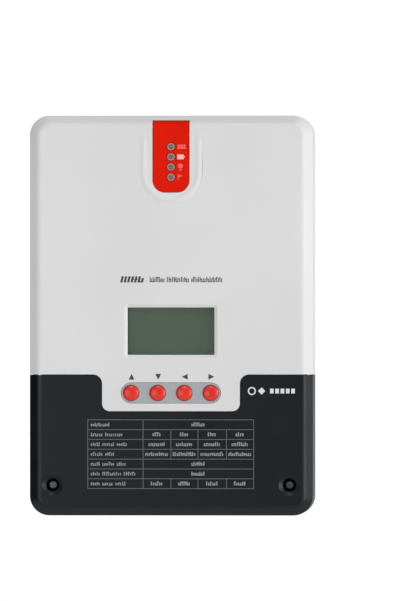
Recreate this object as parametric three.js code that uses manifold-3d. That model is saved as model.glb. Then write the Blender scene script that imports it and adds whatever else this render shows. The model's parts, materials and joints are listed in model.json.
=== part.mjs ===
// A wall-mounted solar charge controller: a finned aluminium back, a moulded front shell with a
// display, keys and indicator lamps, and a dark cover over the wiring terminals.
// Millimetres. X is to the right seen from the front, Z is up, and the front looks along -Y.
// The origin is the middle of the flat back that lies against the wall, so the wall is the plane y = 0.
import * as THREE from "three";
import { mergeVertices } from "three/addons/utils/BufferGeometryUtils.js";
import Module from "manifold-3d";

const wasm = await Module();
wasm.setup();

// ---- driving dimensions -------------------------------------------------------------------
const GAP = 0.3; // clearance between pieces that would touch
const WIDTH = 203;
const HEIGHT = 286.5;
const FACE_Y = -100; // front face of the shell and the cover
const FRONT_Y = -102; // tops of the keys, the overall depth
const CORNER = 14; // outline corner radius
const BEVEL = 6.4; // chamfer round the front face
const WALL = 3;
const RIM_Y = -42; // back rim of the shell and the cover
const ARC_STEPS = 5; // straight steps in a quarter turn of an outline
const BEYOND = 10; // how far a cutting block reaches past what it cuts

const SPLIT_Z = -42.2; // where the white shell ends and the dark cover begins
const TAB_HALF = 49.4; // the shell's tab that reaches down into the cover
const TAB_Z = -68.5;
const TAB_RADIUS = 5.5;
const SHOULDER_RADIUS = 6.6;
const TAB_BACK_Y = -78;
const PASSAGE_HALF = 80; // opening in the shell's floor that the power board passes through
const SINK_ROOM_HALF = 97; // room in the shell's floor for the heatsink
const LEDGE_Y = -47.1; // ledge inside the shell that presses on the gasket
const LEDGE_THICKNESS = 2.5;
const LEDGE_INNER_HALF = 94;
const LEDGE_INNER_TOP = 134;
const BOSS_RADIUS = 4.5; // bosses for the screws from the back
const BOSS_FRONT_Y = -62;
const BOSS_HOLE_FRONT_Y = -60;
const BOSS_RIB_HALF = 1.5;

const SINK_HALF_WIDTH = 96;
const SINK_HALF_HEIGHT = 136;
const BASE_Y = -45; // front of the heatsink's base plate
const BASE_THICKNESS = 5;
const FIN_THICKNESS = 2;
const FIN_FIRST_X = 14.5;
const FIN_PITCH = 8.25;
const FINS_PER_SIDE = 7;
const FIN_TIP_Y = -4;
const RIB_HALF = 6; // the wide middle rib that bears on the wall
const WEB_THICKNESS = 3.5;
const FLANGE_WIDTH = 20;
const FLANGE_THICKNESS = 3;
const MOUNT_X = 84.3;
const KEYHOLE_Z = 112;
const KEYHOLE_RISE = 9;
const KEYHOLE_RADIUS = 5;
const KEYHOLE_SLOT = 5.5;
const LOWER_HOLE_Z = -100;
const LOWER_HOLE_RADIUS = 3.25;
const ACCESS_RADIUS = 5.5; // holes in the base plate that let a driver through to the lower holes
const FLANGE_CUT_Y = [-8, 2]; // reach of the tools that cut through the mounting flanges
const GASKET_WIDTH = 3.5;
const GASKET_FRONT_Y = -46.8;

const WINDOW_HALF = 31.1; // display opening
const WINDOW_TOP = 5.8;
const WINDOW_BOTTOM = -28.1;
const WINDOW_FLARE = 1.9;
const WINDOW_FLARE_DEPTH = 2.3;

const KEY_Z = -55.4;
const KEY_PITCH = 19.05;
const KEY_RADIUS = 5.55;
const KEY_NAMES = ["up", "down", "left", "right"];
const STRIP_HALF_WIDTH = 35.85; // stadium slot that the keypad strip fills
const STRIP_RADIUS = 7.5;
const STRIP_FLANGE = 2.2; // how far the strip's hidden edge reaches past the slot
const KEY_FLANGE_RADIUS = 6.9; // rim that stops the key from coming out
const KEY_STEM_RADIUS = 2;
const SWITCH_HALF = 3;
const SWITCH_HEIGHT = 3;
const PLUNGER_RADIUS = 1.75;
const PLUNGER_RISE = 0.7;

const TONGUE_HALF = 13.15;
const TONGUE_TOP = 139.7;
const TONGUE_BOTTOM = 88.2;
const TONGUE_RADIUS = 8.7;
const LED_NAMES = ["solar", "battery", "load", "fault"];
const LED_TOP_Z = 120.9;
const LED_PITCH = 7.27;
const LED_RADIUS = 2.5;
const LED_FLANGE_RADIUS = 2.9;
const LED_FLANGE_TOP = 5.5;
const LED_HOLE_BACK_Y = -90;
const BEAD_CREST = 19.6; // half-width of the U-shaped bead, at its crest
const BEAD_HALF = 2.75;
const BEAD_RISE = 1.4;
const BEAD_TOP = 134;
const BEAD_CHAMFER = 1.6;
const BEAD_DROP = 5.2; // from the bottom of the tongue down to the crest of the bead

const WELL_X = 84.8; // cover screw wells
const WELL_Z = -121.3;
const WELL_RADIUS = 4.75;
const WELL_FLOOR_Y = -89;
const WELL_BOSS_RADIUS = 7;
const DISH_RADIUS = 7.6; // dished rim of a well
const DISH_DEPTH = 1.2;
const DISH_MIDDLE_Y = FACE_Y + 0.55;
const M4_RADIUS = 2;

const POLES = 6;
const POLE_PITCH = 20;
const POLE_MIDDLE_X = 10;
const BLOCK_TOP = -80;
const BLOCK_BOTTOM = -106;
const BLOCK_FRONT_Y = -83.3;
const POCKET_HALF = 7;
const POCKET_FRONT_Y = -78;
const POCKET_BACK_Y = -54.5;
const CLAMP_Z = -92;
const WIRE_Y = -61; // where a wire's middle goes
const CURRENT_BAR_HALF = 4.5; // fixed bar that the cage lifts the wire against
const CURRENT_BAR_Y = [-66.3, -65.1];
const SCREW_WAY_RADIUS = 4.5; // room for the clamp screw's head
const SCREW_NECK_RADIUS = 2.8;
const SCREW_TIP_Y = -66.6;
const SCREW_LENGTH = 16.3;
const CAGE_HALF = 6.5;
const CAGE_WALL = 1.5;
const CAGE_HALF_HEIGHT = 4;
const CAGE_Y = [-69.8, -54.8];
const CAGE_BAR = [2.5, 2]; // thickness of its front bar and of its rear bar
const CAGE_HOLE_RADIUS = 2.7;

const PLATE_X = [-78, 72]; // cable plate in the bottom wall
const PLATE_FRONT_Y = -75.7;
const PLATE_LIP_THICKNESS = 2.5;
const PLATE_LIP_HEIGHT = 18;
const CABLE_HOLE_RADIUS = 7;
const SOCKET_HOLE_BACK_Y = -53;

const BOARD_FRONT_Y = -53;
const BOARD_THICKNESS = 1.6;
const DISPLAY_BOARD_FRONT_Y = -88;
const DISPLAY_BOARD_OUTLINE = [
  [-46, -65],
  [46, -65],
  [46, 13.5],
  [10, 13.5],
  [10, 128],
  [-10, 128],
  [-10, 13.5],
  [-46, 13.5],
];
const MAIN_BOARD_OUTLINE = [
  [-77, -136],
  [-51, -136],
  [-51, -108],
  [78, -108],
  [78, -46],
  [50, -46],
  [50, 124],
  [-64, 124],
  [-64, -46],
  [-77, -46],
];

const DISPLAY_PEGS = [
  [-41, 8],
  [41, 8],
  [-42, -36],
  [42, -36],
];
const PEG_RADIUS = 3;
const PEG_TIP_RADIUS = 1.3;
const PEG_TIP_REACH = 1.4;
const PEG_HOLE_RADIUS = 1.6;
const STANDOFF_HOLE_RADIUS = 1.9;
// the two sockets; a mouth runs from mouthY[0] to mouthY[1] in front of the socket's back face
const COMM_PORT = {
  x: -59.9,
  half: 6.6,
  depth: 13,
  height: 16,
  mouthHalf: 4.9,
  mouthY: [2.6, 9.8],
  mouthDepth: 12,
};
const SENSOR_PORT = {
  x: -72.7,
  half: 3.6,
  depth: 9.2,
  height: 12,
  mouthHalf: 2.6,
  mouthY: [1.3, 7.9],
  mouthDepth: 8,
};
const PORT_BOTTOM = -141.7;
const KEY_BASE_Y = -92.9; // back end of a key's stem
const TRANSISTOR_Z = [96, 70, 44, 18];
const TRANSISTOR_THICKNESS = 5;
const TRANSISTOR_X = [66, 87];
const TRANSISTOR_HALF = 8;
const LEG_OFFSETS = [-5.4, 0, 5.4];
const LEG_HALF = 0.6;
const LEG_END_X = 46.8;
const CLAMP_BAR_X = [72, 81];
const CLAMP_BAR_THICKNESS = 2.5;
const CAPACITOR_X = 14;
const CAPACITOR_Z = [104, 78, 52];
const INDUCTOR_X = -36;
const INDUCTOR_Z = [92, 40];
const RIBBON_WIDTH = 20;
const RIBBON_THICKNESS = 0.8;
const RIBBON_BEND_Z = -19;
const RIBBON_TAIL_Z = -10;
const CROSS_LENGTH = 4.4; // cross recess of the M4 screws
const CROSS_WIDTH = 1;
const SHELL_SCREWS = [
  [-71.5, 126.5],
  [71.5, 126.5],
  [-71.5, -30],
  [71.5, -30],
];
const STANDOFFS = [
  [-58, 118],
  [44, 118],
  [-70, -60],
  [70, -60],
];

// ---- solids ----------------------------------------------------------------------------------
// A closed three.js geometry as a solid that can be joined and cut.
function solid(geometry) {
  geometry.deleteAttribute("normal");
  geometry.deleteAttribute("uv");
  const merged = mergeVertices(geometry, 1e-4);
  return new wasm.Manifold(
    new wasm.Mesh({
      numProp: 3,
      vertProperties: merged.attributes.position.array,
      triVerts: new Uint32Array(merged.index.array),
    }),
  );
}

function geometryOf(body) {
  const mesh = body.getMesh();
  const geometry = new THREE.BufferGeometry();
  geometry.setAttribute("position", new THREE.BufferAttribute(mesh.vertProperties, 3));
  geometry.setIndex(new THREE.BufferAttribute(mesh.triVerts, 1));
  geometry.computeVertexNormals();
  return geometry;
}

// A box between two values on each axis.
function box(x0, x1, y0, y1, z0, z1) {
  const geometry = new THREE.BoxGeometry(x1 - x0, y1 - y0, z1 - z0);
  geometry.translate((x0 + x1) / 2, (y0 + y1) / 2, (z0 + z1) / 2);
  return solid(geometry);
}

// A round bar along Y, from y0 to y1.
function barY(radius, x, z, y0, y1, sides = 20) {
  const geometry = new THREE.CylinderGeometry(radius, radius, y1 - y0, sides);
  geometry.translate(x, (y0 + y1) / 2, z);
  return solid(geometry);
}

// A round bar along Z, from z0 to z1.
function barZ(radius, x, y, z0, z1, sides = 20) {
  const geometry = new THREE.CylinderGeometry(radius, radius, z1 - z0, sides);
  geometry.rotateX(Math.PI / 2);
  geometry.translate(x, y, (z0 + z1) / 2);
  return solid(geometry);
}

// A flat outline drawn in X and Z, given thickness from backY forwards to frontY.
function plate(shape, backY, frontY, bevel = {}) {
  const geometry = new THREE.ExtrudeGeometry(shape, {
    depth: backY - frontY,
    bevelEnabled: false,
    curveSegments: ARC_STEPS,
    ...bevel,
  });
  geometry.rotateX(Math.PI / 2);
  geometry.translate(0, backY, 0);
  return solid(geometry);
}

// A turned piece about a line along Y: each point is [radius, distance in front of baseY].
function turned(profile, x, z, baseY, sides = 20) {
  const points = profile.map(([radius, forward]) => new THREE.Vector2(radius, forward));
  const geometry = new THREE.LatheGeometry(points, sides);
  geometry.rotateX(Math.PI);
  geometry.translate(x, baseY, z);
  return solid(geometry);
}

function roundedRect(x0, x1, z0, z1, radius) {
  const shape = new THREE.Shape();
  shape.moveTo(x0 + radius, z0);
  shape.lineTo(x1 - radius, z0);
  shape.absarc(x1 - radius, z0 + radius, radius, -Math.PI / 2, 0, false);
  shape.lineTo(x1, z1 - radius);
  shape.absarc(x1 - radius, z1 - radius, radius, 0, Math.PI / 2, false);
  shape.lineTo(x0 + radius, z1);
  shape.absarc(x0 + radius, z1 - radius, radius, Math.PI / 2, Math.PI, false);
  shape.lineTo(x0, z0 + radius);
  shape.absarc(x0 + radius, z0 + radius, radius, Math.PI, 1.5 * Math.PI, false);
  return shape;
}

// An upright tongue: straight top, and a bottom with round corners (a half circle at full radius).
function tongueShape(half, bottom, top, radius) {
  const shape = new THREE.Shape();
  shape.moveTo(-half, top);
  shape.lineTo(-half, bottom + radius);
  shape.absarc(-half + radius, bottom + radius, radius, Math.PI, 1.5 * Math.PI, false);
  if (half > radius) shape.lineTo(half - radius, bottom);
  shape.absarc(half - radius, bottom + radius, radius, 1.5 * Math.PI, 2 * Math.PI, false);
  shape.lineTo(half, top);
  return shape;
}

// An outline with straight sides through a list of [x, z] points.
function straightShape(points) {
  const shape = new THREE.Shape();
  points.forEach(([x, z], i) => (i ? shape.lineTo(x, z) : shape.moveTo(x, z)));
  return shape;
}

// The whole front body as a solid block with its chamfered front, shrunk all round by inset.
function bodyBlock(inset, backY) {
  const chamfer = BEVEL - inset * 0.45;
  const halfX = WIDTH / 2 - inset;
  const halfZ = HEIGHT / 2 - inset;
  const shape = roundedRect(-halfX, halfX, -halfZ, halfZ, CORNER - inset);
  const frontY = FACE_Y + inset;
  const block = plate(shape, backY + 2 * chamfer, frontY + chamfer, {
    bevelEnabled: true,
    bevelThickness: chamfer,
    bevelSize: chamfer,
    bevelOffset: -chamfer,
    bevelSegments: 1,
  });
  return block.intersect(box(-WIDTH, WIDTH, FACE_Y - BEYOND, backY, -HEIGHT, HEIGHT));
}

// The region of the front that belongs to the white shell, grown by clearance.
function upperRegion(clearance) {
  const splitZ = SPLIT_Z - clearance;
  const half = TAB_HALF + clearance;
  const tabZ = TAB_Z - clearance;
  const shoulder = SHOULDER_RADIUS - clearance;
  const corner = TAB_RADIUS + clearance;
  const shape = new THREE.Shape();
  shape.moveTo(-WIDTH, HEIGHT);
  shape.lineTo(-WIDTH, splitZ);
  shape.lineTo(-half - shoulder, splitZ);
  shape.absarc(-half - shoulder, splitZ - shoulder, shoulder, Math.PI / 2, 0, true);
  shape.lineTo(-half, tabZ + corner);
  shape.absarc(-half + corner, tabZ + corner, corner, Math.PI, 1.5 * Math.PI, false);
  shape.lineTo(half - corner, tabZ);
  shape.absarc(half - corner, tabZ + corner, corner, 1.5 * Math.PI, 2 * Math.PI, false);
  shape.lineTo(half, splitZ - shoulder);
  shape.absarc(half + shoulder, splitZ - shoulder, shoulder, Math.PI, Math.PI / 2, true);
  shape.lineTo(WIDTH, splitZ);
  shape.lineTo(WIDTH, HEIGHT);
  return plate(shape, BEYOND, FACE_Y - BEYOND);
}

// The U of the bead: down one arm, round the bottom, up the other arm, and back along its inside.
function beadShape() {
  const outer = BEAD_CREST + BEAD_HALF;
  const inner = BEAD_CREST - BEAD_HALF;
  const middleZ = TONGUE_BOTTOM - BEAD_DROP + BEAD_CREST;
  const shape = new THREE.Shape();
  shape.moveTo(-outer, BEAD_TOP);
  shape.lineTo(-outer, middleZ);
  shape.absarc(0, middleZ, outer, Math.PI, 2 * Math.PI, false);
  shape.lineTo(outer, BEAD_TOP);
  shape.lineTo(inner, BEAD_TOP);
  shape.lineTo(inner, middleZ);
  shape.absarc(0, middleZ, inner, 2 * Math.PI, Math.PI, true);
  shape.lineTo(-inner, BEAD_TOP);
  return shape;
}

const tongue = (clearance) =>
  tongueShape(
    TONGUE_HALF + clearance,
    TONGUE_BOTTOM - clearance,
    TONGUE_TOP + clearance,
    TONGUE_RADIUS + clearance,
  );

const strip = (clearance) =>
  roundedRect(
    -STRIP_HALF_WIDTH - clearance,
    STRIP_HALF_WIDTH + clearance,
    KEY_Z - STRIP_RADIUS - clearance,
    KEY_Z + STRIP_RADIUS + clearance,
    STRIP_RADIUS + clearance - 0.01,
  );

const keyX = (i) => (i - 1.5) * KEY_PITCH;
const ledZ = (i) => LED_TOP_Z - i * LED_PITCH;
const poleX = (i) => POLE_MIDDLE_X + (i - (POLES - 1) / 2) * POLE_PITCH;

// ---- the parts -----------------------------------------------------------------------------
// The shell without its openings: an open box with a tab, a floor and a ledge for the gasket.
function shellBox() {
  const innerY = FACE_Y + WALL;
  const floorZ = SPLIT_Z + WALL;
  let body = bodyBlock(0, RIM_Y).intersect(upperRegion(0));
  const roomAbove = box(-WIDTH, WIDTH, FACE_Y - BEYOND, 0, floorZ, HEIGHT);
  body = body.subtract(bodyBlock(WALL, RIM_Y + 1).intersect(roomAbove));
  // the tab is only as deep as the keypad needs, and opens into the room above
  body = body.subtract(box(-WIDTH, WIDTH, TAB_BACK_Y, 1, TAB_Z - BEYOND, SPLIT_Z));
  const pocket = TAB_HALF - WALL;
  body = body.subtract(box(-pocket, pocket, innerY, TAB_BACK_Y - WALL, TAB_Z + WALL, floorZ + 1));
  // the power board passes under the floor, which stops short of the heatsink and its gasket
  const passage = box(-PASSAGE_HALF, PASSAGE_HALF, BOARD_FRONT_Y - 3, 0, SPLIT_Z - 1, floorZ + 1);
  body = body.subtract(passage);
  body = body.subtract(box(-SINK_ROOM_HALF, SINK_ROOM_HALF, LEDGE_Y, 0, SPLIT_Z - 1, floorZ + 1));
  const ledge = roundedRect(-WIDTH / 2 + 2, WIDTH / 2 - 2, SPLIT_Z + 0.5, HEIGHT / 2 - 2, 10);
  ledge.holes.push(roundedRect(-LEDGE_INNER_HALF, LEDGE_INNER_HALF, floorZ + 0.7, LEDGE_INNER_TOP, 6));
  return body.add(plate(ledge, LEDGE_Y, LEDGE_Y - LEDGE_THICKNESS).subtract(passage));
}

// The shell's openings: the display with flared sides, the keypad slot and the tongue's slot.
function shellOpenings() {
  const innerY = FACE_Y + WALL;
  const opening = roundedRect(-WINDOW_HALF, WINDOW_HALF, WINDOW_BOTTOM, WINDOW_TOP, 0.5);
  const flare = plate(opening, FACE_Y, FACE_Y - 2, {
    bevelEnabled: true,
    bevelThickness: WINDOW_FLARE_DEPTH,
    bevelSize: WINDOW_FLARE,
    bevelSegments: 1,
  });
  return [
    flare,
    plate(opening, innerY + 1, FACE_Y - 1),
    plate(strip(0), innerY + 1, FACE_Y - 1),
    plate(tongue(GAP), innerY + 9, FACE_Y - 1),
  ];
}

function bead() {
  return plate(beadShape(), FACE_Y + 1.5, FACE_Y, {
    bevelEnabled: true,
    bevelThickness: BEAD_RISE,
    bevelSize: BEAD_CHAMFER,
    bevelOffset: -BEAD_CHAMFER,
    bevelSegments: 1,
  });
}

function frontShell() {
  let body = shellBox();
  for (const opening of shellOpenings()) body = body.subtract(opening);
  body = body.add(bead());
  // bosses for the four screws from the back, each tied to a wall by a rib
  for (const [x, z] of SHELL_SCREWS) {
    const wallZ = z > 0 ? HEIGHT / 2 - WALL / 2 : SPLIT_Z + WALL / 2;
    const boss = barY(BOSS_RADIUS, x, z, BOSS_FRONT_Y, BASE_Y - 2 * GAP);
    const rib = box(
      x - BOSS_RIB_HALF,
      x + BOSS_RIB_HALF,
      BOSS_FRONT_Y,
      BASE_Y - 5,
      Math.min(z, wallZ),
      Math.max(z, wallZ),
    );
    body = body.add(boss).add(rib);
    body = body.subtract(barY(M4_RADIUS + GAP, x, z, BOSS_HOLE_FRONT_Y, BASE_Y + 1, 16));
  }
  // pegs that carry the display board
  const pegRootY = FACE_Y + WALL - 1;
  const pegTipY = DISPLAY_BOARD_FRONT_Y + BOARD_THICKNESS + PEG_TIP_REACH;
  for (const [x, z] of DISPLAY_PEGS) {
    body = body.add(barY(PEG_RADIUS, x, z, pegRootY, DISPLAY_BOARD_FRONT_Y - GAP, 12));
    body = body.add(barY(PEG_TIP_RADIUS, x, z, pegRootY, pegTipY, 12));
  }
  return body;
}

function terminalCover() {
  const bottomIn = -HEIGHT / 2 + WALL;
  let body = bodyBlock(0, RIM_Y).subtract(upperRegion(GAP));
  body = body.subtract(bodyBlock(WALL, RIM_Y + 1));
  for (const side of [-1, 1]) {
    const x = side * WELL_X;
    body = body.add(barY(WELL_BOSS_RADIUS, x, WELL_Z, FACE_Y + 1, BASE_Y - GAP, 24));
    body = body.subtract(barY(WELL_RADIUS, x, WELL_Z, FACE_Y - 1, WELL_FLOOR_Y, 24));
    body = body.subtract(barY(M4_RADIUS + GAP, x, WELL_Z, FACE_Y, RIM_Y, 16));
    // dished rim of the well
    const dish = new THREE.CylinderGeometry(WELL_RADIUS, DISH_RADIUS, DISH_DEPTH, 24);
    dish.translate(x, DISH_MIDDLE_Y, WELL_Z);
    body = body.subtract(solid(dish));
  }
  // the bottom wall is cut back for the cable plate
  const [left, right] = PLATE_X;
  const notch = box(left - GAP, right + GAP, PLATE_FRONT_Y - GAP, 0, -HEIGHT / 2 - 1, bottomIn + 0.01);
  return body.subtract(notch);
}

// The right half of the extruded heatsink in X and Y, from the front of its base plate round its
// flange and fins to the middle rib.
function sinkHalfOutline() {
  const backY = BASE_Y + BASE_THICKNESS;
  const w = SINK_HALF_WIDTH;
  const outline = [
    [w, BASE_Y],
    [w, 0],
    [w - FLANGE_WIDTH, 0],
    [w - FLANGE_WIDTH, -FLANGE_THICKNESS],
    [w - WEB_THICKNESS, -FLANGE_THICKNESS],
    [w - WEB_THICKNESS, backY],
  ];
  for (let i = FINS_PER_SIDE - 1; i >= 0; i--) {
    const x = FIN_FIRST_X + i * FIN_PITCH;
    outline.push([x + FIN_THICKNESS / 2, backY]);
    outline.push([x + FIN_THICKNESS / 2, FIN_TIP_Y]);
    outline.push([x - FIN_THICKNESS / 2, FIN_TIP_Y]);
    outline.push([x - FIN_THICKNESS / 2, backY]);
  }
  outline.push([RIB_HALF, backY]);
  outline.push([RIB_HALF, 0]);
  return outline;
}

function heatsink() {
  const right = sinkHalfOutline();
  const left = right.toReversed().map(([x, y]) => [-x, y]);
  const shape = straightShape([...right, ...left]);
  const profile = new THREE.ExtrudeGeometry(shape, { depth: 2 * SINK_HALF_HEIGHT, bevelEnabled: false });
  profile.translate(0, 0, -SINK_HALF_HEIGHT);
  let body = solid(profile);
  const baseCut = [BASE_Y - 2, BASE_Y + BASE_THICKNESS + 2];
  for (const side of [-1, 1]) {
    const x = side * MOUNT_X;
    const slot = KEYHOLE_SLOT / 2;
    const slotTop = KEYHOLE_Z + KEYHOLE_RISE;
    body = body.subtract(barY(KEYHOLE_RADIUS, x, KEYHOLE_Z, ...FLANGE_CUT_Y));
    body = body.subtract(box(x - slot, x + slot, ...FLANGE_CUT_Y, KEYHOLE_Z, slotTop));
    body = body.subtract(barY(slot, x, slotTop, ...FLANGE_CUT_Y, 16));
    body = body.subtract(barY(LOWER_HOLE_RADIUS, x, LOWER_HOLE_Z, ...FLANGE_CUT_Y));
    body = body.subtract(barY(ACCESS_RADIUS, x, LOWER_HOLE_Z, ...baseCut));
    body = body.subtract(barY(M4_RADIUS + GAP, side * WELL_X, WELL_Z, ...baseCut, 16));
  }
  for (const [x, z] of SHELL_SCREWS) body = body.subtract(barY(M4_RADIUS + GAP, x, z, ...baseCut, 16));
  for (const [x, z] of STANDOFFS) body = body.subtract(barY(STANDOFF_HOLE_RADIUS, x, z, ...baseCut, 12));
  return body;
}

function shellGasket() {
  const outer = SINK_HALF_WIDTH - GAP;
  const top = SINK_HALF_HEIGHT - GAP;
  const bottom = SPLIT_Z + GAP;
  const shape = roundedRect(-outer, outer, bottom, top, 2);
  const inner = outer - GASKET_WIDTH;
  shape.holes.push(roundedRect(-inner, inner, bottom + GASKET_WIDTH, top - GASKET_WIDTH, 4));
  return plate(shape, BASE_Y - GAP, GASKET_FRONT_Y);
}

function cablePlate() {
  const floor = -HEIGHT / 2;
  const backY = BASE_Y - GAP;
  const cut = [floor - 1, floor + WALL + 1];
  const lip = box(...PLATE_X, backY - PLATE_LIP_THICKNESS, backY, floor + 1, floor + PLATE_LIP_HEIGHT);
  let body = box(...PLATE_X, PLATE_FRONT_Y, backY, floor, floor + WALL).add(lip);
  for (let i = 0; i < POLES; i++) {
    body = body.subtract(barZ(CABLE_HOLE_RADIUS, poleX(i), WIRE_Y, ...cut));
  }
  for (const port of [COMM_PORT, SENSOR_PORT]) {
    const half = port.half + GAP;
    const frontY = BOARD_FRONT_Y - port.depth - 2 * GAP;
    body = body.subtract(box(port.x - half, port.x + half, frontY, SOCKET_HOLE_BACK_Y, ...cut));
  }
  return body;
}

// A small socket on the power board, open downwards.
function socket({ x, half, depth, height, mouthHalf, mouthY, mouthDepth }) {
  const back = BOARD_FRONT_Y - GAP;
  const body = box(x - half, x + half, back - depth, back, PORT_BOTTOM, PORT_BOTTOM + height);
  const mouth = box(
    x - mouthHalf,
    x + mouthHalf,
    back - mouthY[1],
    back - mouthY[0],
    PORT_BOTTOM - 1,
    PORT_BOTTOM + mouthDepth,
  );
  return body.subtract(mouth);
}

function ledPanel() {
  const skin = bodyBlock(GAP, RIM_Y).subtract(bodyBlock(5, RIM_Y + 1));
  let body = skin.intersect(plate(tongue(0), FACE_Y + 7, FACE_Y - 5));
  const back = FACE_Y + WALL + GAP;
  // a wider flange behind the shell's wall keeps the tongue in its slot
  body = body.add(plate(roundedRect(-16, 16, 85.5, 131, 4), back + 1.8, back));
  for (let i = 0; i < LED_NAMES.length; i++) {
    body = body.subtract(barY(LED_RADIUS + GAP, 0, ledZ(i), FACE_Y - 1, LED_HOLE_BACK_Y));
  }
  return body;
}

function led(i) {
  const profile = [
    [0, 0],
    [LED_FLANGE_RADIUS, 0],
    [LED_FLANGE_RADIUS, LED_FLANGE_TOP],
    [LED_RADIUS, LED_FLANGE_TOP],
    [LED_RADIUS, 11],
    [2.1, 11.7],
    [1.2, 12.1],
    [0, 12.2],
  ];
  return turned(profile, 0, ledZ(i), DISPLAY_BOARD_FRONT_Y - GAP, 12);
}

function keypadBezel() {
  let body = plate(strip(-GAP), FACE_Y + WALL + 1, FACE_Y - 0.2);
  const back = FACE_Y + WALL + GAP;
  body = body.add(plate(strip(STRIP_FLANGE), back + 1.2, back));
  for (let i = 0; i < KEY_NAMES.length; i++) {
    body = body.subtract(barY(KEY_RADIUS + GAP, keyX(i), KEY_Z, FACE_Y - 2, back + 2, 18));
  }
  return body;
}

function button(i) {
  const top = KEY_BASE_Y - FRONT_Y;
  const profile = [
    [0, 0],
    [KEY_STEM_RADIUS, 0],
    [KEY_STEM_RADIUS, 1.2],
    [KEY_FLANGE_RADIUS, 1.2],
    [KEY_FLANGE_RADIUS, 2.3],
    [KEY_RADIUS, 2.3],
    [KEY_RADIUS, top - 1.8],
    [KEY_RADIUS - 0.7, top - 1.1],
    [KEY_RADIUS - 2.6, top - 0.3],
    [0, top],
  ];
  return turned(profile, keyX(i), KEY_Z, KEY_BASE_Y, 18);
}

function keySwitch(i) {
  const back = DISPLAY_BOARD_FRONT_Y - GAP;
  const front = back - SWITCH_HEIGHT;
  const x = keyX(i);
  const half = SWITCH_HALF;
  const body = box(x - half, x + half, front, back, KEY_Z - half, KEY_Z + half);
  return body.add(barY(PLUNGER_RADIUS, x, KEY_Z, front - PLUNGER_RISE, back - 1, 16));
}

// The clear window, the display glass behind it, and the tray that holds the glass.
function lcdWindow() {
  const back = FACE_Y + WALL + GAP;
  return plate(roundedRect(-35, 35, -32.2, 9.8, 1.5), back + 1.2, back);
}

function lcdPanel() {
  return box(-34, 34, -95.2, -92.4, -31.2, 8.8);
}

function lcdFrame() {
  const tray = box(-36.5, 36.5, -94.2, DISPLAY_BOARD_FRONT_Y - GAP, -33.4, 11);
  return tray.subtract(box(-34.4, 34.4, -96, -92.1, -31.6, 9.2));
}

// A circuit board of an outline, with round holes at a list of [x, z] places.
function board(outline, frontY, holes, holeRadius) {
  let body = plate(straightShape(outline), frontY + BOARD_THICKNESS, frontY);
  for (const [x, z] of holes) {
    body = body.subtract(barY(holeRadius, x, z, frontY - 1, frontY + 3, 12));
  }
  return body;
}

const displayBoard = () => board(DISPLAY_BOARD_OUTLINE, DISPLAY_BOARD_FRONT_Y, DISPLAY_PEGS, PEG_HOLE_RADIUS);

const mainBoard = () => board(MAIN_BOARD_OUTLINE, BOARD_FRONT_Y, STANDOFFS, STANDOFF_HOLE_RADIUS);

// A nylon support: a barbed neck in the heatsink, a round body, and a barbed neck in the board.
function boardStandoff([x, z]) {
  const boardBack = BASE_Y - (BOARD_FRONT_Y + BOARD_THICKNESS);
  const profile = [
    [0, -5.6],
    [1.4, -5.2],
    [1.6, 0],
    [1.6, GAP],
    [3.2, GAP],
    [3.2, boardBack - GAP],
    [1.6, boardBack - GAP],
    [1.6, boardBack + BOARD_THICKNESS + GAP],
    [2.4, boardBack + BOARD_THICKNESS + GAP + 0.4],
    [1, boardBack + BOARD_THICKNESS + 3],
    [0, boardBack + BOARD_THICKNESS + 3],
  ];
  return turned(profile, x, z, BASE_Y, 10);
}

function terminalBlock() {
  const left = poleX(0) - POLE_PITCH / 2;
  const right = poleX(POLES - 1) + POLE_PITCH / 2;
  let body = box(left, right, BLOCK_FRONT_Y, BOARD_FRONT_Y - GAP, BLOCK_BOTTOM, BLOCK_TOP);
  for (let i = 0; i < POLES; i++) {
    const x = poleX(i);
    const pocket = box(
      x - POCKET_HALF,
      x + POCKET_HALF,
      POCKET_FRONT_Y,
      POCKET_BACK_Y,
      BLOCK_BOTTOM - 1,
      BLOCK_TOP - 3,
    );
    const half = CURRENT_BAR_HALF;
    const currentBar = box(x - half, x + half, ...CURRENT_BAR_Y, BLOCK_BOTTOM + 2, BLOCK_TOP - 2);
    body = body.subtract(pocket).add(currentBar);
    body = body.subtract(barY(SCREW_WAY_RADIUS, x, CLAMP_Z, BLOCK_FRONT_Y - 1, POCKET_FRONT_Y - 0.9));
    body = body.subtract(barY(SCREW_NECK_RADIUS, x, CLAMP_Z, BLOCK_FRONT_Y, POCKET_FRONT_Y + 1, 16));
  }
  return body;
}

// A clamp cage: its front bar runs on the screw, and its rear bar lifts the wire to the fixed bar.
function terminalCage(i) {
  const x = poleX(i);
  const inner = CAGE_HALF - CAGE_WALL;
  const [frontY, backY] = CAGE_Y;
  const insideY = frontY + CAGE_BAR[0];
  const tall = CAGE_HALF_HEIGHT;
  const ring = box(x - CAGE_HALF, x + CAGE_HALF, frontY, backY, CLAMP_Z - tall, CLAMP_Z + tall);
  const cut = [CLAMP_Z - tall - 1, CLAMP_Z + tall + 1];
  const mouth = box(x - inner, x + inner, insideY, backY - CAGE_BAR[1], ...cut);
  return ring.subtract(mouth).subtract(barY(CAGE_HOLE_RADIUS, x, CLAMP_Z, frontY - 2, insideY + 1, 16));
}

// The cross recess of a screw head, between two values of y.
function crossSlot(x, z, y0, y1, length, width) {
  const level = box(x - length / 2, x + length / 2, y0, y1, z - width / 2, z + width / 2);
  const upright = box(x - width / 2, x + width / 2, y0, y1, z - length / 2, z + length / 2);
  return level.add(upright);
}

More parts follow.
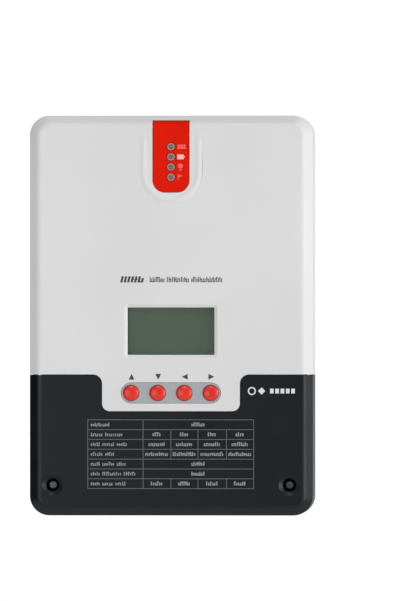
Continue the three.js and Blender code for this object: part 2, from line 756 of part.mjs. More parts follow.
function terminalScrew(i) {
  const profile = [
    [0, 0],
    [2.4, 0],
    [2.4, 12.6],
    [4.1, 12.6],
    [4.1, 15.9],
    [3.7, SCREW_LENGTH],
    [0, SCREW_LENGTH],
  ];
  const headY = SCREW_TIP_Y - SCREW_LENGTH;
  const screw = turned(profile, poleX(i), CLAMP_Z, SCREW_TIP_Y, 12);
  return screw.subtract(crossSlot(poleX(i), CLAMP_Z, headY - 1, headY + 1.8, 5.4, 1.2));
}

// A pan-head screw along Y; facing is -1 when its head is at the front and 1 when it is at the back.
function panScrew(x, z, seatY, length, headRadius, headHeight, facing) {
  const profile = [
    [0, -length],
    [M4_RADIUS, -length],
    [M4_RADIUS, 0],
    [headRadius, 0],
    [headRadius, headHeight * 0.55],
    [headRadius * 0.75, headHeight],
    [0, headHeight],
  ];
  const points = profile.map(([radius, along]) => new THREE.Vector2(radius, along));
  const geometry = new THREE.LatheGeometry(points, 12);
  if (facing < 0) geometry.rotateX(Math.PI);
  geometry.translate(x, seatY, z);
  const top = seatY + facing * (headHeight + 1);
  const bottom = top - facing * 2.4;
  const recess = crossSlot(x, z, Math.min(top, bottom), Math.max(top, bottom), CROSS_LENGTH, CROSS_WIDTH);
  return solid(geometry).subtract(recess);
}

function coverScrew(side) {
  return panScrew(side * WELL_X, WELL_Z, WELL_FLOOR_Y - GAP, 47.8, 4, 2.6, -1);
}

function shellScrew(x, z) {
  return panScrew(x, z, BASE_Y + BASE_THICKNESS + GAP, 19.5, 4, 2.5, 1);
}

// A toroid wound with thick wire, standing flat on the power board.
function inductor(x, z) {
  const profile = [
    [10, 0],
    [23, 0],
    [24, 1.2],
    [24, 20.8],
    [23, 22],
    [10, 22],
    [9, 20.8],
    [9, 1.2],
    [10, 0],
  ];
  return turned(profile, x, z, BOARD_FRONT_Y - GAP, 24);
}

function capacitor(x, z) {
  const profile = [
    [0, 0],
    [10.4, 0],
    [11, 0.8],
    [11, 29],
    [10.2, 30],
    [0, 30],
  ];
  return turned(profile, x, z, BOARD_FRONT_Y - GAP, 18);
}

function powerTransistor(z) {
  const back = BASE_Y - GAP;
  const half = TRANSISTOR_HALF;
  let body = box(...TRANSISTOR_X, back - TRANSISTOR_THICKNESS, back, z - half, z + half);
  for (const offset of LEG_OFFSETS) {
    const width = [z + offset - LEG_HALF, z + offset + LEG_HALF];
    const leg = box(LEG_END_X, TRANSISTOR_X[0] + 1, back - 3, back - 2.2, ...width);
    const foot = box(LEG_END_X, LEG_END_X + 1, back - 5.8, back - 2.2, ...width);
    body = body.add(leg).add(foot);
  }
  return body;
}

function transistorClamp() {
  const back = BASE_Y - GAP - TRANSISTOR_THICKNESS - GAP;
  const [first, last] = [TRANSISTOR_Z[0], TRANSISTOR_Z.at(-1)];
  return box(...CLAMP_BAR_X, back - CLAMP_BAR_THICKNESS, back, last - 10, first + 10);
}

// A flat flexible cable that bows down between the two boards, its tails flat against them.
function ribbonCable() {
  const front = DISPLAY_BOARD_FRONT_Y + BOARD_THICKNESS + GAP;
  const back = BOARD_FRONT_Y - GAP;
  const middleY = (front + back) / 2;
  const radius = (back - front) / 2;
  const thickness = RIBBON_THICKNESS;
  const endZ = RIBBON_BEND_Z;
  const tailZ = RIBBON_TAIL_Z;
  const shape = new THREE.Shape();
  shape.moveTo(front, tailZ);
  shape.lineTo(front, endZ);
  shape.absarc(middleY, endZ, radius, Math.PI, 2 * Math.PI, false);
  shape.lineTo(back, tailZ);
  shape.lineTo(back - thickness, tailZ);
  shape.lineTo(back - thickness, endZ);
  shape.absarc(middleY, endZ, radius - thickness, 2 * Math.PI, Math.PI, true);
  shape.lineTo(front + thickness, tailZ);
  const geometry = new THREE.ExtrudeGeometry(shape, {
    depth: RIBBON_WIDTH,
    bevelEnabled: false,
    curveSegments: 10,
  });
  // the outline is drawn in Y and Z and is drawn out along X
  const turn = new THREE.Matrix4().set(0, 0, 1, 0, 1, 0, 0, 0, 0, 1, 0, 0, 0, 0, 0, 1);
  geometry.applyMatrix4(turn);
  geometry.translate(-RIBBON_WIDTH, 0, 0);
  return solid(geometry);
}

// ---- materials -------------------------------------------------------------------------------
const material = (color, roughness, metalness = 0) =>
  new THREE.MeshStandardMaterial({ color, roughness, metalness });

const MATERIALS = {
  shell: material(0xdfe0df, 0.45),
  cover: material(0x25282b, 0.5),
  red: material(0xd81e14, 0.25),
  key: material(0xe62f22, 0.2),
  grey: material(0x9fa4a4, 0.5),
  aluminium: material(0xb4b8bb, 0.4, 0.9),
  steel: material(0xa9adb0, 0.35, 1),
  brass: material(0xb99a55, 0.4, 1),
  rubber: material(0x1c1c1c, 0.8),
  clear: material(0xa8b0ab, 0.1),
  display: material(0x505b52, 0.3),
  board: material(0x1f5a34, 0.5),
  lamp: material(0x9b9a98, 0.25),
  dark: material(0x222426, 0.5),
  green: material(0x2f7d4a, 0.5),
  nylon: material(0xe5e2d6, 0.5),
};

// ---- the assembly -----------------------------------------------------------------------
const controller = new THREE.Group();
controller.name = "charge_controller";

function place(name, body, finish) {
  const mesh = new THREE.Mesh(geometryOf(body), finish);
  mesh.name = name;
  controller.add(mesh);
}

place("heatsink", heatsink(), MATERIALS.aluminium);
place("shell_gasket", shellGasket(), MATERIALS.rubber);
place("front_shell", frontShell(), MATERIALS.shell);
place("terminal_cover", terminalCover(), MATERIALS.cover);
place("cable_plate", cablePlate(), MATERIALS.cover);
place("led_panel", ledPanel(), MATERIALS.red);
LED_NAMES.forEach((name, i) => place("led_" + name, led(i), MATERIALS.lamp));
place("lcd_window", lcdWindow(), MATERIALS.clear);
place("lcd_panel", lcdPanel(), MATERIALS.display);
place("lcd_frame", lcdFrame(), MATERIALS.dark);
place("keypad_bezel", keypadBezel(), MATERIALS.grey);
KEY_NAMES.forEach((name, i) => place("button_" + name, button(i), MATERIALS.key));
KEY_NAMES.forEach((name, i) => place("key_switch_" + name, keySwitch(i), MATERIALS.dark));
place("display_board", displayBoard(), MATERIALS.board);
place("main_board", mainBoard(), MATERIALS.board);
STANDOFFS.forEach((at, i) => place("board_standoff_" + (i + 1), boardStandoff(at), MATERIALS.nylon));
place("terminal_block", terminalBlock(), MATERIALS.green);
for (let i = 0; i < POLES; i++) {
  place("terminal_cage_" + (i + 1), terminalCage(i), MATERIALS.brass);
  place("terminal_screw_" + (i + 1), terminalScrew(i), MATERIALS.steel);
}
place("comm_port", socket(COMM_PORT), MATERIALS.dark);
place("sensor_port", socket(SENSOR_PORT), MATERIALS.green);
INDUCTOR_Z.forEach((z, i) => place("inductor_" + (i + 1), inductor(INDUCTOR_X, z), MATERIALS.brass));
CAPACITOR_Z.forEach((z, i) => place("capacitor_" + (i + 1), capacitor(CAPACITOR_X, z), MATERIALS.dark));
TRANSISTOR_Z.forEach((z, i) => place("power_transistor_" + (i + 1), powerTransistor(z), MATERIALS.dark));
place("transistor_clamp", transistorClamp(), MATERIALS.steel);
place("ribbon_cable", ribbonCable(), MATERIALS.nylon);
place("cover_screw_left", coverScrew(-1), MATERIALS.steel);
place("cover_screw_right", coverScrew(1), MATERIALS.steel);
SHELL_SCREWS.forEach(([x, z], i) => place("shell_screw_" + (i + 1), shellScrew(x, z), MATERIALS.steel));

export default controller;
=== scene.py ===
import json
import math
import random

import bmesh
import bpy
from mathutils import Matrix, Vector


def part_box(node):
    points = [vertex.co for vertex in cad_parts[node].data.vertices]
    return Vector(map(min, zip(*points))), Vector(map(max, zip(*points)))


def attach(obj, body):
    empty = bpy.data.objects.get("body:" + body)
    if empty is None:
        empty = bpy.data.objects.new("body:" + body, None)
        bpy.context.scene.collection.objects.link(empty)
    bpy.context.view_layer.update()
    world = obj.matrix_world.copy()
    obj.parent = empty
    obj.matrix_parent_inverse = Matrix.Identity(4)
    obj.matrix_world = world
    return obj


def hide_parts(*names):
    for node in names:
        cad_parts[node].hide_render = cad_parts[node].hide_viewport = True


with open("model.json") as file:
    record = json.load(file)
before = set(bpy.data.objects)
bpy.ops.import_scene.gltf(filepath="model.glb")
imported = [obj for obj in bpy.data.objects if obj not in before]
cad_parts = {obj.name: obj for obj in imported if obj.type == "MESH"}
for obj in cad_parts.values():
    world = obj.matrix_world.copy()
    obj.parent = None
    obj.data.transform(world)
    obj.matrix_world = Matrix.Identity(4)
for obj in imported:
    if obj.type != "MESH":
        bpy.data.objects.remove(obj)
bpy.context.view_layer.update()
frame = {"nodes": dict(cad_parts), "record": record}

MM = 0.001
node_body = {n: b for b, ns in frame["record"]["behaviour"]["bodies"].items() for n in ns}


def span(node):
    """Lowest and highest corner of a CAD node, in millimetres."""
    low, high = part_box(node)
    return low / MM, high / MM


def middle(node):
    low, high = span(node)
    return (low + high) / 2


# ---- places taken from the frame ----
shell_low, shell_high = span("front_shell")
cover_low, cover_high = span("terminal_cover")
HALF_X = shell_high.x
TOP_Z = shell_high.z
BOTTOM_Z = cover_low.z
FACE_Y = cover_low.y
RIM_Y = cover_high.y
GAP = 0.3
SPLIT_Z = cover_high.z + GAP
TAB_Z = shell_low.z
TAB_HALF = 49.4
TAB_RADIUS = 5.5
SHOULDER_RADIUS = 6.6
CORNER = 14
BEVEL = 6.4
WALL = 3
INNER_Y = FACE_Y + WALL
BODY_ROUND = 6.5  # rounding between the front face and its bevel
STEPS = 12  # straight steps in a quarter turn
PAST = 5  # how far a cutting solid reaches past what it cuts


# ---- outlines: lists of (x, z) ----
def arc(cx, cz, radius, start, end, steps=STEPS):
    """Points of an arc from angle start to end, in degrees, both ends included."""
    angles = [math.radians(start + (end - start) * i / steps) for i in range(steps + 1)]
    return [(cx + radius * math.cos(a), cz + radius * math.sin(a)) for a in angles]


def rounded_rect(x0, x1, z0, z1, r, steps=STEPS):
    return (
        arc(x1 - r, z0 + r, r, -90, 0, steps)
        + arc(x1 - r, z1 - r, r, 0, 90, steps)
        + arc(x0 + r, z1 - r, r, 90, 180, steps)
        + arc(x0 + r, z0 + r, r, 180, 270, steps)
    )


def circle(cx, cz, radius, steps=48):
    return arc(cx, cz, radius, 0, 360, steps)[:-1]


def tongue_outline(half, bottom, top, radius):
    points = arc(-half + radius, bottom + radius, radius, 180, 270)
    points += arc(half - radius, bottom + radius, radius, 270, 360)
    return points + [(half, top), (-half, top)]


def upper_outline(grow):
    """The region of the front that belongs to the white shell."""
    split = SPLIT_Z - grow
    half = TAB_HALF + grow
    tab = TAB_Z - grow
    shoulder = SHOULDER_RADIUS - grow
    corner = TAB_RADIUS + grow
    far = 2 * HALF_X
    points = [(-far, 2 * TOP_Z), (-far, split)]
    points += arc(-half - shoulder, split - shoulder, shoulder, 90, 0)
    points += arc(-half + corner, tab + corner, corner, 180, 270)
    points += arc(half - corner, tab + corner, corner, 270, 360)
    points += arc(half + shoulder, split - shoulder, shoulder, 180, 90)
    return points + [(far, split), (far, 2 * TOP_Z)]


def filleted(points, radii, steps=6):
    """A polyline with its inner corners rounded."""
    out = [points[0]]
    for before, at, after, radius in zip(points, points[1:], points[2:], radii):
        a, b, c = Vector(before), Vector(at), Vector(after)
        u, v = (a - b).normalized(), (c - b).normalized()
        half = math.acos(max(-1, min(1, u.dot(v)))) / 2
        reach = radius / math.tan(half)
        start, end = b + u * reach, b + v * reach
        for i in range(steps + 1):
            t = i / steps
            p = start * (1 - t) ** 2 + b * 2 * t * (1 - t) + end * t * t
            out.append((p.x, p.y))
    return out + [points[-1]]


# ---- solids, in millimetres ----
def loft(rings):
    """A closed skin over rings of (x, y, z) points, all with the same number of points."""
    bm = bmesh.new()
    rows = [[bm.verts.new(p) for p in ring] for ring in rings]
    for row, after in zip(rows, rows[1:]):
        for i in range(len(row)):
            j = (i + 1) % len(row)
            bm.faces.new((row[i], row[j], after[j], after[i]))
    bm.faces.new(rows[0])
    bm.faces.new(rows[-1])
    bmesh.ops.recalc_face_normals(bm, faces=bm.faces)
    return bm


def prism(outline, y0, y1):
    return loft([[(x, y, z) for x, z in outline] for y in (y0, y1)])


def block(x0, x1, y0, y1, z0, z1):
    return prism([(x0, z0), (x1, z0), (x1, z1), (x0, z1)], y0, y1)


def turned(profile, x, z, base_y, forward=-1, steps=48):
    """A turned skin about a line along Y. Each point is (radius, distance from base_y)."""
    bm = bmesh.new()
    rows = []
    for radius, along in profile:
        y = base_y + forward * along
        if radius < 1e-6:
            rows.append([bm.verts.new((x, y, z))])
        else:
            rows.append([bm.verts.new((px, y, pz)) for px, pz in circle(x, z, radius, steps)])
    for row, after in zip(rows, rows[1:]):
        for i in range(steps):
            j = (i + 1) % steps
            a, b = len(row), len(after)  # 1 for a point on the axis
            corners = dict.fromkeys((row[i % a], row[j % a], after[j % b], after[i % b]))
            if len(corners) > 2:
                bm.faces.new(list(corners))
    bmesh.ops.recalc_face_normals(bm, faces=bm.faces)
    return bm


def rod(radius, x, z, y0, y1, steps=48):
    return prism(circle(x, z, radius, steps), y0, y1)


def body_block(inset, round_by):
    """The whole front body, shrunk all round by inset, with its bevelled front."""
    bevel = BEVEL - inset * 0.45
    front = FACE_Y + inset
    rim = RIM_Y + (1 if inset else 0)
    corners = [(inset, rim), (inset, front + bevel), (inset + bevel, front), (13, front)]
    profile = filleted(corners, [round_by * 0.3, round_by])
    rings = []
    for o, y in profile:
        outline = rounded_rect(-HALF_X + o, HALF_X - o, BOTTOM_Z + o, TOP_Z - o, CORNER - o)
        rings.append([(x, y, z) for x, z in outline])
    return loft(rings)


def linked(name, data):
    """A new object in the scene."""
    obj = bpy.data.objects.new(name, data)
    bpy.context.scene.collection.objects.link(obj)
    return obj


def as_object(bm, name="work"):
    mesh = bpy.data.meshes.new(name)
    bm.to_mesh(mesh)
    bm.free()
    return linked(name, mesh)


def gathered(parts):
    """Several loose solids as one object."""
    whole = bmesh.new()
    for part in parts:
        mesh = bpy.data.meshes.new("part")
        part.to_mesh(mesh)
        part.free()
        whole.from_mesh(mesh)
        bpy.data.meshes.remove(mesh)
    return as_object(whole)


def settle(obj):
    """Applies the object's modifiers."""
    bpy.context.view_layer.update()
    depsgraph = bpy.context.evaluated_depsgraph_get()
    mesh = bpy.data.meshes.new_from_object(obj.evaluated_get(depsgraph))
    old = obj.data
    obj.modifiers.clear()
    obj.data = mesh
    bpy.data.meshes.remove(old)


def combine(obj, operation, tools):
    """Cuts, joins or intersects a solid with each of the tools in turn."""
    made = [as_object(bm, "tool") for bm in tools]
    for tool in made:
        modifier = obj.modifiers.new("combine", "BOOLEAN")
        modifier.operation = operation
        modifier.solver = "EXACT"
        modifier.object = tool
    settle(obj)
    for tool in made:
        mesh = tool.data
        bpy.data.objects.remove(tool)
        bpy.data.meshes.remove(mesh)
    return obj


def subtract(obj, *tools):
    return combine(obj, "DIFFERENCE", tools)


def add(obj, *tools):
    return combine(obj, "UNION", tools)


def intersect(obj, *tools):
    return combine(obj, "INTERSECT", tools)


def edge_turn(vertex):
    """How tightly the surface turns outwards at a vertex, in radians per millimetre."""
    tightest = 0
    for edge in vertex.link_edges:
        if len(edge.link_faces) == 2:
            area = sum(face.calc_area() for face in edge.link_faces)
            width = area / 2 / max(edge.calc_length(), 1e-6)
            tightest = max(tightest, edge.calc_face_angle_signed(0) / max(width, 1e-3))
    return tightest


def shaded(obj, angle):
    """Smooth shading in which the larger faces keep their own direction."""
    mesh = obj.data
    mesh.shade_smooth()
    mesh.set_sharp_from_angle(angle=math.radians(angle))
    bm = bmesh.new()
    bm.from_mesh(mesh)
    weight = {face: face.normal * face.calc_area() ** 2 for face in bm.faces}
    direction = {}
    for vertex in bm.verts:
        for first in vertex.link_loops:
            if first in direction:
                continue
            fan, total = [first], Vector()
            for loop in fan:
                total += weight[loop.face]
                for edge in (loop.edge, loop.link_loop_prev.edge):
                    if edge.smooth:
                        near = [o for f in edge.link_faces for o in f.loops if o.vert is vertex]
                        fan += [o for o in near if o not in fan]
            for loop in fan:
                direction[loop] = total.normalized()
    normals = [direction[loop] for face in bm.faces for loop in face.loops]
    wear = [min(1, max(0, edge_turn(vertex) - 0.4)) for vertex in bm.verts]
    mesh.normals_split_custom_set(normals)
    mesh.attributes.new("wear", "FLOAT", "POINT").data.foreach_set("value", wear)
    bm.free()


def merged(obj, reach):
    """Joins points that all but touch, and makes each flat stretch one face."""
    bm = bmesh.new()
    bm.from_mesh(obj.data)
    bmesh.ops.remove_doubles(bm, verts=bm.verts, dist=reach)
    bmesh.ops.dissolve_degenerate(bm, dist=reach, edges=bm.edges)
    bmesh.ops.dissolve_limit(
        bm, angle_limit=math.radians(0.6), verts=bm.verts, edges=bm.edges, delimit={"NORMAL"}
    )
    bm.to_mesh(obj.data)
    bm.free()


def softened(obj, edge, segments=2, angle=32):
    """Rounds the sharp edges of a solid and shades the result."""
    merged(obj, 0.02)
    if edge:
        bevel = obj.modifiers.new("edges", "BEVEL")
        bevel.width = edge
        bevel.segments = segments
        bevel.limit_method = "ANGLE"
        bevel.angle_limit = math.radians(angle)
        bevel.use_clamp_overlap = False
        bevel.miter_outer = "MITER_ARC"
        settle(obj)
        merged(obj, 0.004)
    shaded(obj, angle + 8)
    return obj


def finished(obj, name, body, material, replaces=()):
    """Turns a piece into metres, names it, gives it its material and ties it to its body."""
    obj.name = name
    obj.data.name = name
    obj.data.transform(Matrix.Scale(MM, 4))
    obj.data.materials.clear()
    obj.data.materials.append(material)
    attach(obj, body)
    if replaces:
        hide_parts(*replaces)
    return obj


def stands_for(obj, node, material, edge=0.25, segments=2, angle=32):
    """Finishes a piece that takes a CAD node's place."""
    softened(obj, edge, segments, angle)
    return finished(obj, node + "_skin", node_body[node], material, [node])


def refined(node, material, edge=0.25):
    """A CAD node's own shape with merged faces, rounded edges and smooth round stretches."""
    mesh = frame["nodes"][node].data.copy()
    mesh.transform(Matrix.Scale(1 / MM, 4))
    return stands_for(linked(node + "_skin", mesh), node, material, edge, angle=36)


# ---- materials ----
CLOUDINESS = 0.03  # how much a moulding's colour varies


def set_inputs(node, **values):
    """Sets a node's own sockets; an underscore stands for a space in a socket's name."""
    for socket, value in values.items():
        node.inputs[socket.replace("_", " ")].default_value = value
    return node


def shader(name, **sockets):
    """A new material with its Principled shader's own sockets set."""
    material = bpy.data.materials.new(name)
    material.use_nodes = True
    principled = set_inputs(material.node_tree.nodes["Principled BSDF"], **sockets)
    return material, material.node_tree, principled


def mapped(tree, scale=(1, 1, 1)):
    coordinates = tree.nodes.new("ShaderNodeTexCoord")
    mapping = set_inputs(tree.nodes.new("ShaderNodeMapping"), Scale=scale)
    tree.links.new(coordinates.outputs["Object"], mapping.inputs["Vector"])
    return mapping.outputs["Vector"]


def noise(tree, vector, scale, detail=3, roughness=0.5):
    texture = tree.nodes.new("ShaderNodeTexNoise")
    set_inputs(texture, Scale=scale, Detail=detail, Roughness=roughness)
    tree.links.new(vector, texture.inputs["Vector"])
    return texture.outputs["Fac"]


def ramp(tree, fac, stops):
    node = tree.nodes.new("ShaderNodeValToRGB")
    elements = node.color_ramp.elements
    while len(elements) < len(stops):
        elements.new(0.5)
    for element, (position, color) in zip(elements, stops):
        element.position = position
        element.color = (*color, 1)
    tree.links.new(fac, node.inputs["Fac"])
    return node.outputs["Color"]


def ranged(tree, value, low, high, start=0.3, full=0.7, ease="LINEAR"):
    """Maps start to full onto low to high; most of a noise lies between 0.3 and 0.7."""
    node = tree.nodes.new("ShaderNodeMapRange")
    node.interpolation_type = ease
    set_inputs(node, From_Min=start, From_Max=full, To_Min=low, To_Max=high)
    tree.links.new(value, node.inputs["Value"])
    return node.outputs["Result"]


def bumped(tree, principled, height, strength, distance):
    node = set_inputs(tree.nodes.new("ShaderNodeBump"), Strength=strength, Distance=distance)
    tree.links.new(height, node.inputs["Height"])
    tree.links.new(node.outputs["Normal"], principled.inputs["Normal"])


def rough_by(tree, principled, value, low, high):
    """Roughness that follows a noise."""
    tree.links.new(ranged(tree, value, low, high), principled.inputs["Roughness"])


def edge_mask(tree, vector):
    """Bright along the rounded edges, broken up by noise."""
    attribute = tree.nodes.new("ShaderNodeAttribute")
    attribute.attribute_name = "wear"
    patches = tree.nodes.new("ShaderNodeMath")
    patches.operation = "MULTIPLY"
    worn = noise(tree, vector, 160, 4, 0.6)
    tree.links.new(attribute.outputs["Fac"], patches.inputs[0])
    tree.links.new(ranged(tree, worn, 0.1, 1.0), patches.inputs[1])
    return patches.outputs["Value"]


def mixed(tree, fac, a, b, blend="MIX"):
    node = tree.nodes.new("ShaderNodeMix")
    node.data_type = "RGBA"
    node.blend_type = blend
    if isinstance(fac, float):
        node.inputs["Factor"].default_value = fac
    else:
        tree.links.new(fac, node.inputs["Factor"])
    for socket, value in (("A", a), ("B", b)):
        target = [i for i in node.inputs if i.name == socket and i.type == "RGBA"][0]
        if isinstance(value, tuple):
            target.default_value = (*value, 1)
        else:
            tree.links.new(value, target)
    return [o for o in node.outputs if o.type == "RGBA"][0]


def moulded(name, color, worn, roughness, grain=2600, bump=0.05, specular=0.5, sheen=(1, 1, 1)):
    """Moulded plastic: spark-eroded grain, a little cloudiness, and polish along its edges."""
    tint = (*sheen, 1)
    material, tree, principled = shader(
        name, IOR=1.46, Specular_IOR_Level=specular, Specular_Tint=tint
    )
    vector = mapped(tree)
    clouds = noise(tree, vector, 9, 4)
    dark = tuple(c * (1 - CLOUDINESS) for c in color)
    light = tuple(min(1, c * (1 + CLOUDINESS)) for c in color)
    base = ramp(tree, clouds, [(0.3, dark), (0.7, light)])
    base = mixed(tree, edge_mask(tree, vector), base, worn)
    tree.links.new(base, principled.inputs["Base Color"])
    smudges = noise(tree, vector, 35, 5, 0.6)
    rough_by(tree, principled, smudges, roughness - 0.05, roughness + 0.06)
    fine = noise(tree, vector, grain, 2, 0.55)
    bumped(tree, principled, fine, bump, 0.0002)
    return material


def glossy(name, color, deep, roughness=0.12, coat=0.6, specular=0.5, bump=0.04):
    """Polished moulded plastic with a clear surface, slightly uneven as moulded."""
    material, tree, principled = shader(
        name, IOR=1.49, Specular_IOR_Level=specular, Coat_Weight=coat, Coat_Roughness=0.06
    )
    vector = mapped(tree)
    clouds = noise(tree, vector, 60, 3)
    tree.links.new(ramp(tree, clouds, [(0.3, deep), (0.65, color)]), principled.inputs["Base Color"])
    haze = noise(tree, vector, 220, 4)
    rough_by(tree, principled, haze, roughness * 0.8, roughness * 1.4)
    bumped(tree, principled, noise(tree, vector, 150, 2), bump, 0.0004)
    return material


def metal(name, color, roughness, along=(1, 1, 1), scale=700, bump=0.08):
    """Metal with drawn, brushed or cast marks; along stretches the marks."""
    material, tree, principled = shader(name, Metallic=1.0)
    vector = mapped(tree, along)
    marks = noise(tree, vector, scale, 4, 0.6)
    clouds = noise(tree, mapped(tree), 14, 4)
    dark = tuple(c * 0.88 for c in color)
    base = ramp(tree, clouds, [(0.3, dark), (0.7, color)])
    bright = tuple(min(1, c * 1.18) for c in color)
    base = mixed(tree, edge_mask(tree, vector), base, bright)
    tree.links.new(base, principled.inputs["Base Color"])
    rough_by(tree, principled, marks, roughness * 0.75, roughness * 1.25)
    bumped(tree, principled, marks, bump, 0.0003)
    return material


def board_material(name):
    """Solder mask over copper: tracks show as slightly lighter raised lines."""
    material, tree, principled = shader(name, IOR=1.5, Coat_Weight=0.4)
    vector = mapped(tree)
    brick = set_inputs(tree.nodes.new("ShaderNodeTexBrick"), Scale=120, Mortar_Size=0.012)
    set_inputs(brick, Color1=(0.012, 0.11, 0.045, 1), Color2=(0.016, 0.14, 0.055, 1))
    set_inputs(brick, Mortar=(0.008, 0.07, 0.03, 1))
    axes = tree.nodes.new("ShaderNodeSeparateXYZ")
    flat = tree.nodes.new("ShaderNodeCombineXYZ")
    tree.links.new(vector, axes.inputs["Vector"])
    tree.links.new(axes.outputs["X"], flat.inputs["X"])
    tree.links.new(axes.outputs["Z"], flat.inputs["Y"])
    tree.links.new(flat.outputs["Vector"], brick.inputs["Vector"])
    clouds = noise(tree, vector, 40, 3)
    tone = ramp(tree, clouds, [(0.35, (0.75, 0.75, 0.75)), (0.65, (1, 1, 1))])
    base = mixed(tree, 1.0, brick.outputs["Color"], tone, "MULTIPLY")
    tree.links.new(base, principled.inputs["Base Color"])
    rough_by(tree, principled, clouds, 0.28, 0.42)
    bumped(tree, principled, brick.outputs["Fac"], 0.15, 0.0002)
    return material


def clear_window():
    """A hard-coated clear window, faintly dusty."""
    material, tree, principled = shader(
        "window_clear", IOR=1.45, Base_Color=(0.93, 0.96, 0.94, 1), Transmission_Weight=1.0
    )
    vector = mapped(tree)
    dust = noise(tree, vector, 300, 5, 0.7)
    rough_by(tree, principled, dust, 0.02, 0.07)
    bumped(tree, principled, noise(tree, vector, 40, 2), 0.02, 0.0002)
    return material


def lamp_material():
    """Smoky diffused lamp moulding, darker towards its middle."""
    material, tree, principled = shader("lamp_smoke", IOR=1.5, Coat_Weight=0.5)
    vector = mapped(tree)
    clouds = noise(tree, vector, 500, 3)
    base = ramp(tree, clouds, [(0.3, (0.10, 0.085, 0.08)), (0.7, (0.14, 0.12, 0.11))])
    tree.links.new(base, principled.inputs["Base Color"])
    rough_by(tree, principled, clouds, 0.16, 0.3)
    bumped(tree, principled, clouds, 0.05, 0.0003)
    return material


def ink(name, color):
    """Pad-printed ink: dense, with faint thin places."""
    material, tree, principled = shader(name, Specular_IOR_Level=0.25)
    vector = mapped(tree)
    thin = noise(tree, vector, 900, 3)
    lighter = tuple(min(1, c * 1.15 + 0.008) for c in color)
    tree.links.new(ramp(tree, thin, [(0.35, color), (0.75, lighter)]), principled.inputs["Base Color"])
    rough_by(tree, principled, thin, 0.49, 0.61)
    return material


# plastics: name, colour, colour where worn, roughness, grain, bump, specular, sheen
WHITE = moulded("shell_white", (0.66, 0.665, 0.66), (0.74, 0.745, 0.745), 0.42, 2600, 0.04, 0.4)
COOL = (0.86, 0.96, 1)
BLACK = moulded("cover_dark", (0.0024, 0.0038, 0.005), (0.006, 0.007, 0.008), 0.42, 2600, 0.05, 0.36, COOL)
TONGUE_RED = glossy("tongue_red", (0.70, 0.011, 0.002), (0.66, 0.009, 0.002), 0.5, 0.0, 0.04)
KEY_RED = glossy("key_red", (0.73, 0.015, 0.003), (0.65, 0.011, 0.003), 0.3, 0.0, 0.55, 0.008)
STRIP_GREY = moulded("strip_grey", (0.355, 0.385, 0.40), (0.43, 0.45, 0.45), 0.45, 2600, 0.04, 0.3)
ALUMINIUM = metal("sink_aluminium", (0.60, 0.61, 0.62), 0.42, (1, 1, 0.02), 900, 0.10)
BLACK_STEEL = metal("blackened_steel", (0.17, 0.17, 0.175), 0.3, (1, 1, 1), 500, 0.05)
STEEL = metal("zinc_steel", (0.62, 0.62, 0.60), 0.3, (1, 1, 1), 500, 0.05)
CAGE_STEEL = metal("cage_steel", (0.66, 0.63, 0.55), 0.36, (1, 1, 0.2), 600, 0.06)
SHEET_STEEL = metal("clamp_steel", (0.58, 0.59, 0.60), 0.38, (1, 1, 0.05), 600, 0.08)
COPPER = metal("copper_winding", (0.72, 0.30, 0.13), 0.26, (1, 1, 1), 400, 0.04)
TIN = metal("tinned_copper", (0.70, 0.66, 0.60), 0.32, (1, 1, 0.1), 500, 0.05)
RUBBER = moulded("gasket_rubber", (0.012, 0.012, 0.012), (0.02, 0.02, 0.02), 0.75, 900, 0.15, 0.2)
DARK = moulded("matt_black", (0.014, 0.014, 0.015), (0.03, 0.03, 0.03), 0.5, 1800, 0.06, 0.35)
HOUSING = moulded("terminal_housing", (0.028, 0.032, 0.036), (0.05, 0.055, 0.06), 0.45, 1500, 0.1, 0.4)
PORT_GREEN = moulded("port_green", (0.02, 0.22, 0.07), (0.05, 0.3, 0.12), 0.4, 1800, 0.05, 0.4)
NYLON = moulded("nylon", (0.70, 0.67, 0.58), (0.78, 0.76, 0.70), 0.42, 900, 0.05, 0.4)
SLEEVE = glossy("capacitor_sleeve", (0.018, 0.02, 0.035), (0.012, 0.013, 0.025), 0.22, 0.3, 0.5)
EPOXY = moulded("transistor_epoxy", (0.016, 0.016, 0.017), (0.03, 0.03, 0.03), 0.55, 1400, 0.12, 0.35)
RIBBON = moulded("ribbon_grey", (0.42, 0.42, 0.42), (0.5, 0.5, 0.5), 0.5, 1200, 0.05, 0.4)
BOARD = board_material("circuit_board")
WINDOW = clear_window()
DISPLAY = glossy("display_glass", (0.148, 0.197, 0.146), (0.138, 0.186, 0.137), 0.3, 0.0, 0.15)
LAMP = lamp_material()
LAMP_RING = moulded("lamp_ring", (0.46, 0.37, 0.34), (0.52, 0.46, 0.44), 0.35, 1500, 0.04, 0.5)
FERRITE = moulded("ferrite_core", (0.03, 0.03, 0.032), (0.06, 0.06, 0.06), 0.6, 900, 0.12, 0.35)
CERAMIC = moulded("ceramic_chip", (0.30, 0.21, 0.13), (0.36, 0.28, 0.2), 0.45, 1500, 0.05, 0.4)
GOLD = metal("gilt_contact", (0.86, 0.66, 0.32), 0.25, (1, 1, 0.2), 500, 0.04)
DARK_INK = ink("dark_ink", (0.05, 0.052, 0.05))
GREY_INK = ink("grey_ink", (0.11, 0.11, 0.108))
PALE_INK = ink("pale_ink", (0.115, 0.122, 0.132))
TEXT_INK = ink("text_ink", (0.245, 0.257, 0.27))
MARK_INK = ink("mark_ink", (0.62, 0.64, 0.66))
ICON_INK = ink("icon_ink", (0.80, 0.12, 0.11))
ICON_BRIGHT = ink("icon_bright_ink", (0.90, 0.46, 0.42))

# ---- camera ----
VIEW_HEIGHT = 430.20759  # height of the picture at the front face
DISTANCE = 8000  # from the lens to the front face
YAW = 2.5  # degrees that the lens stands to the right of straight ahead
SIDE_OFFSET = 21.2
RISE = 10.8
LONG_SENSOR = 36

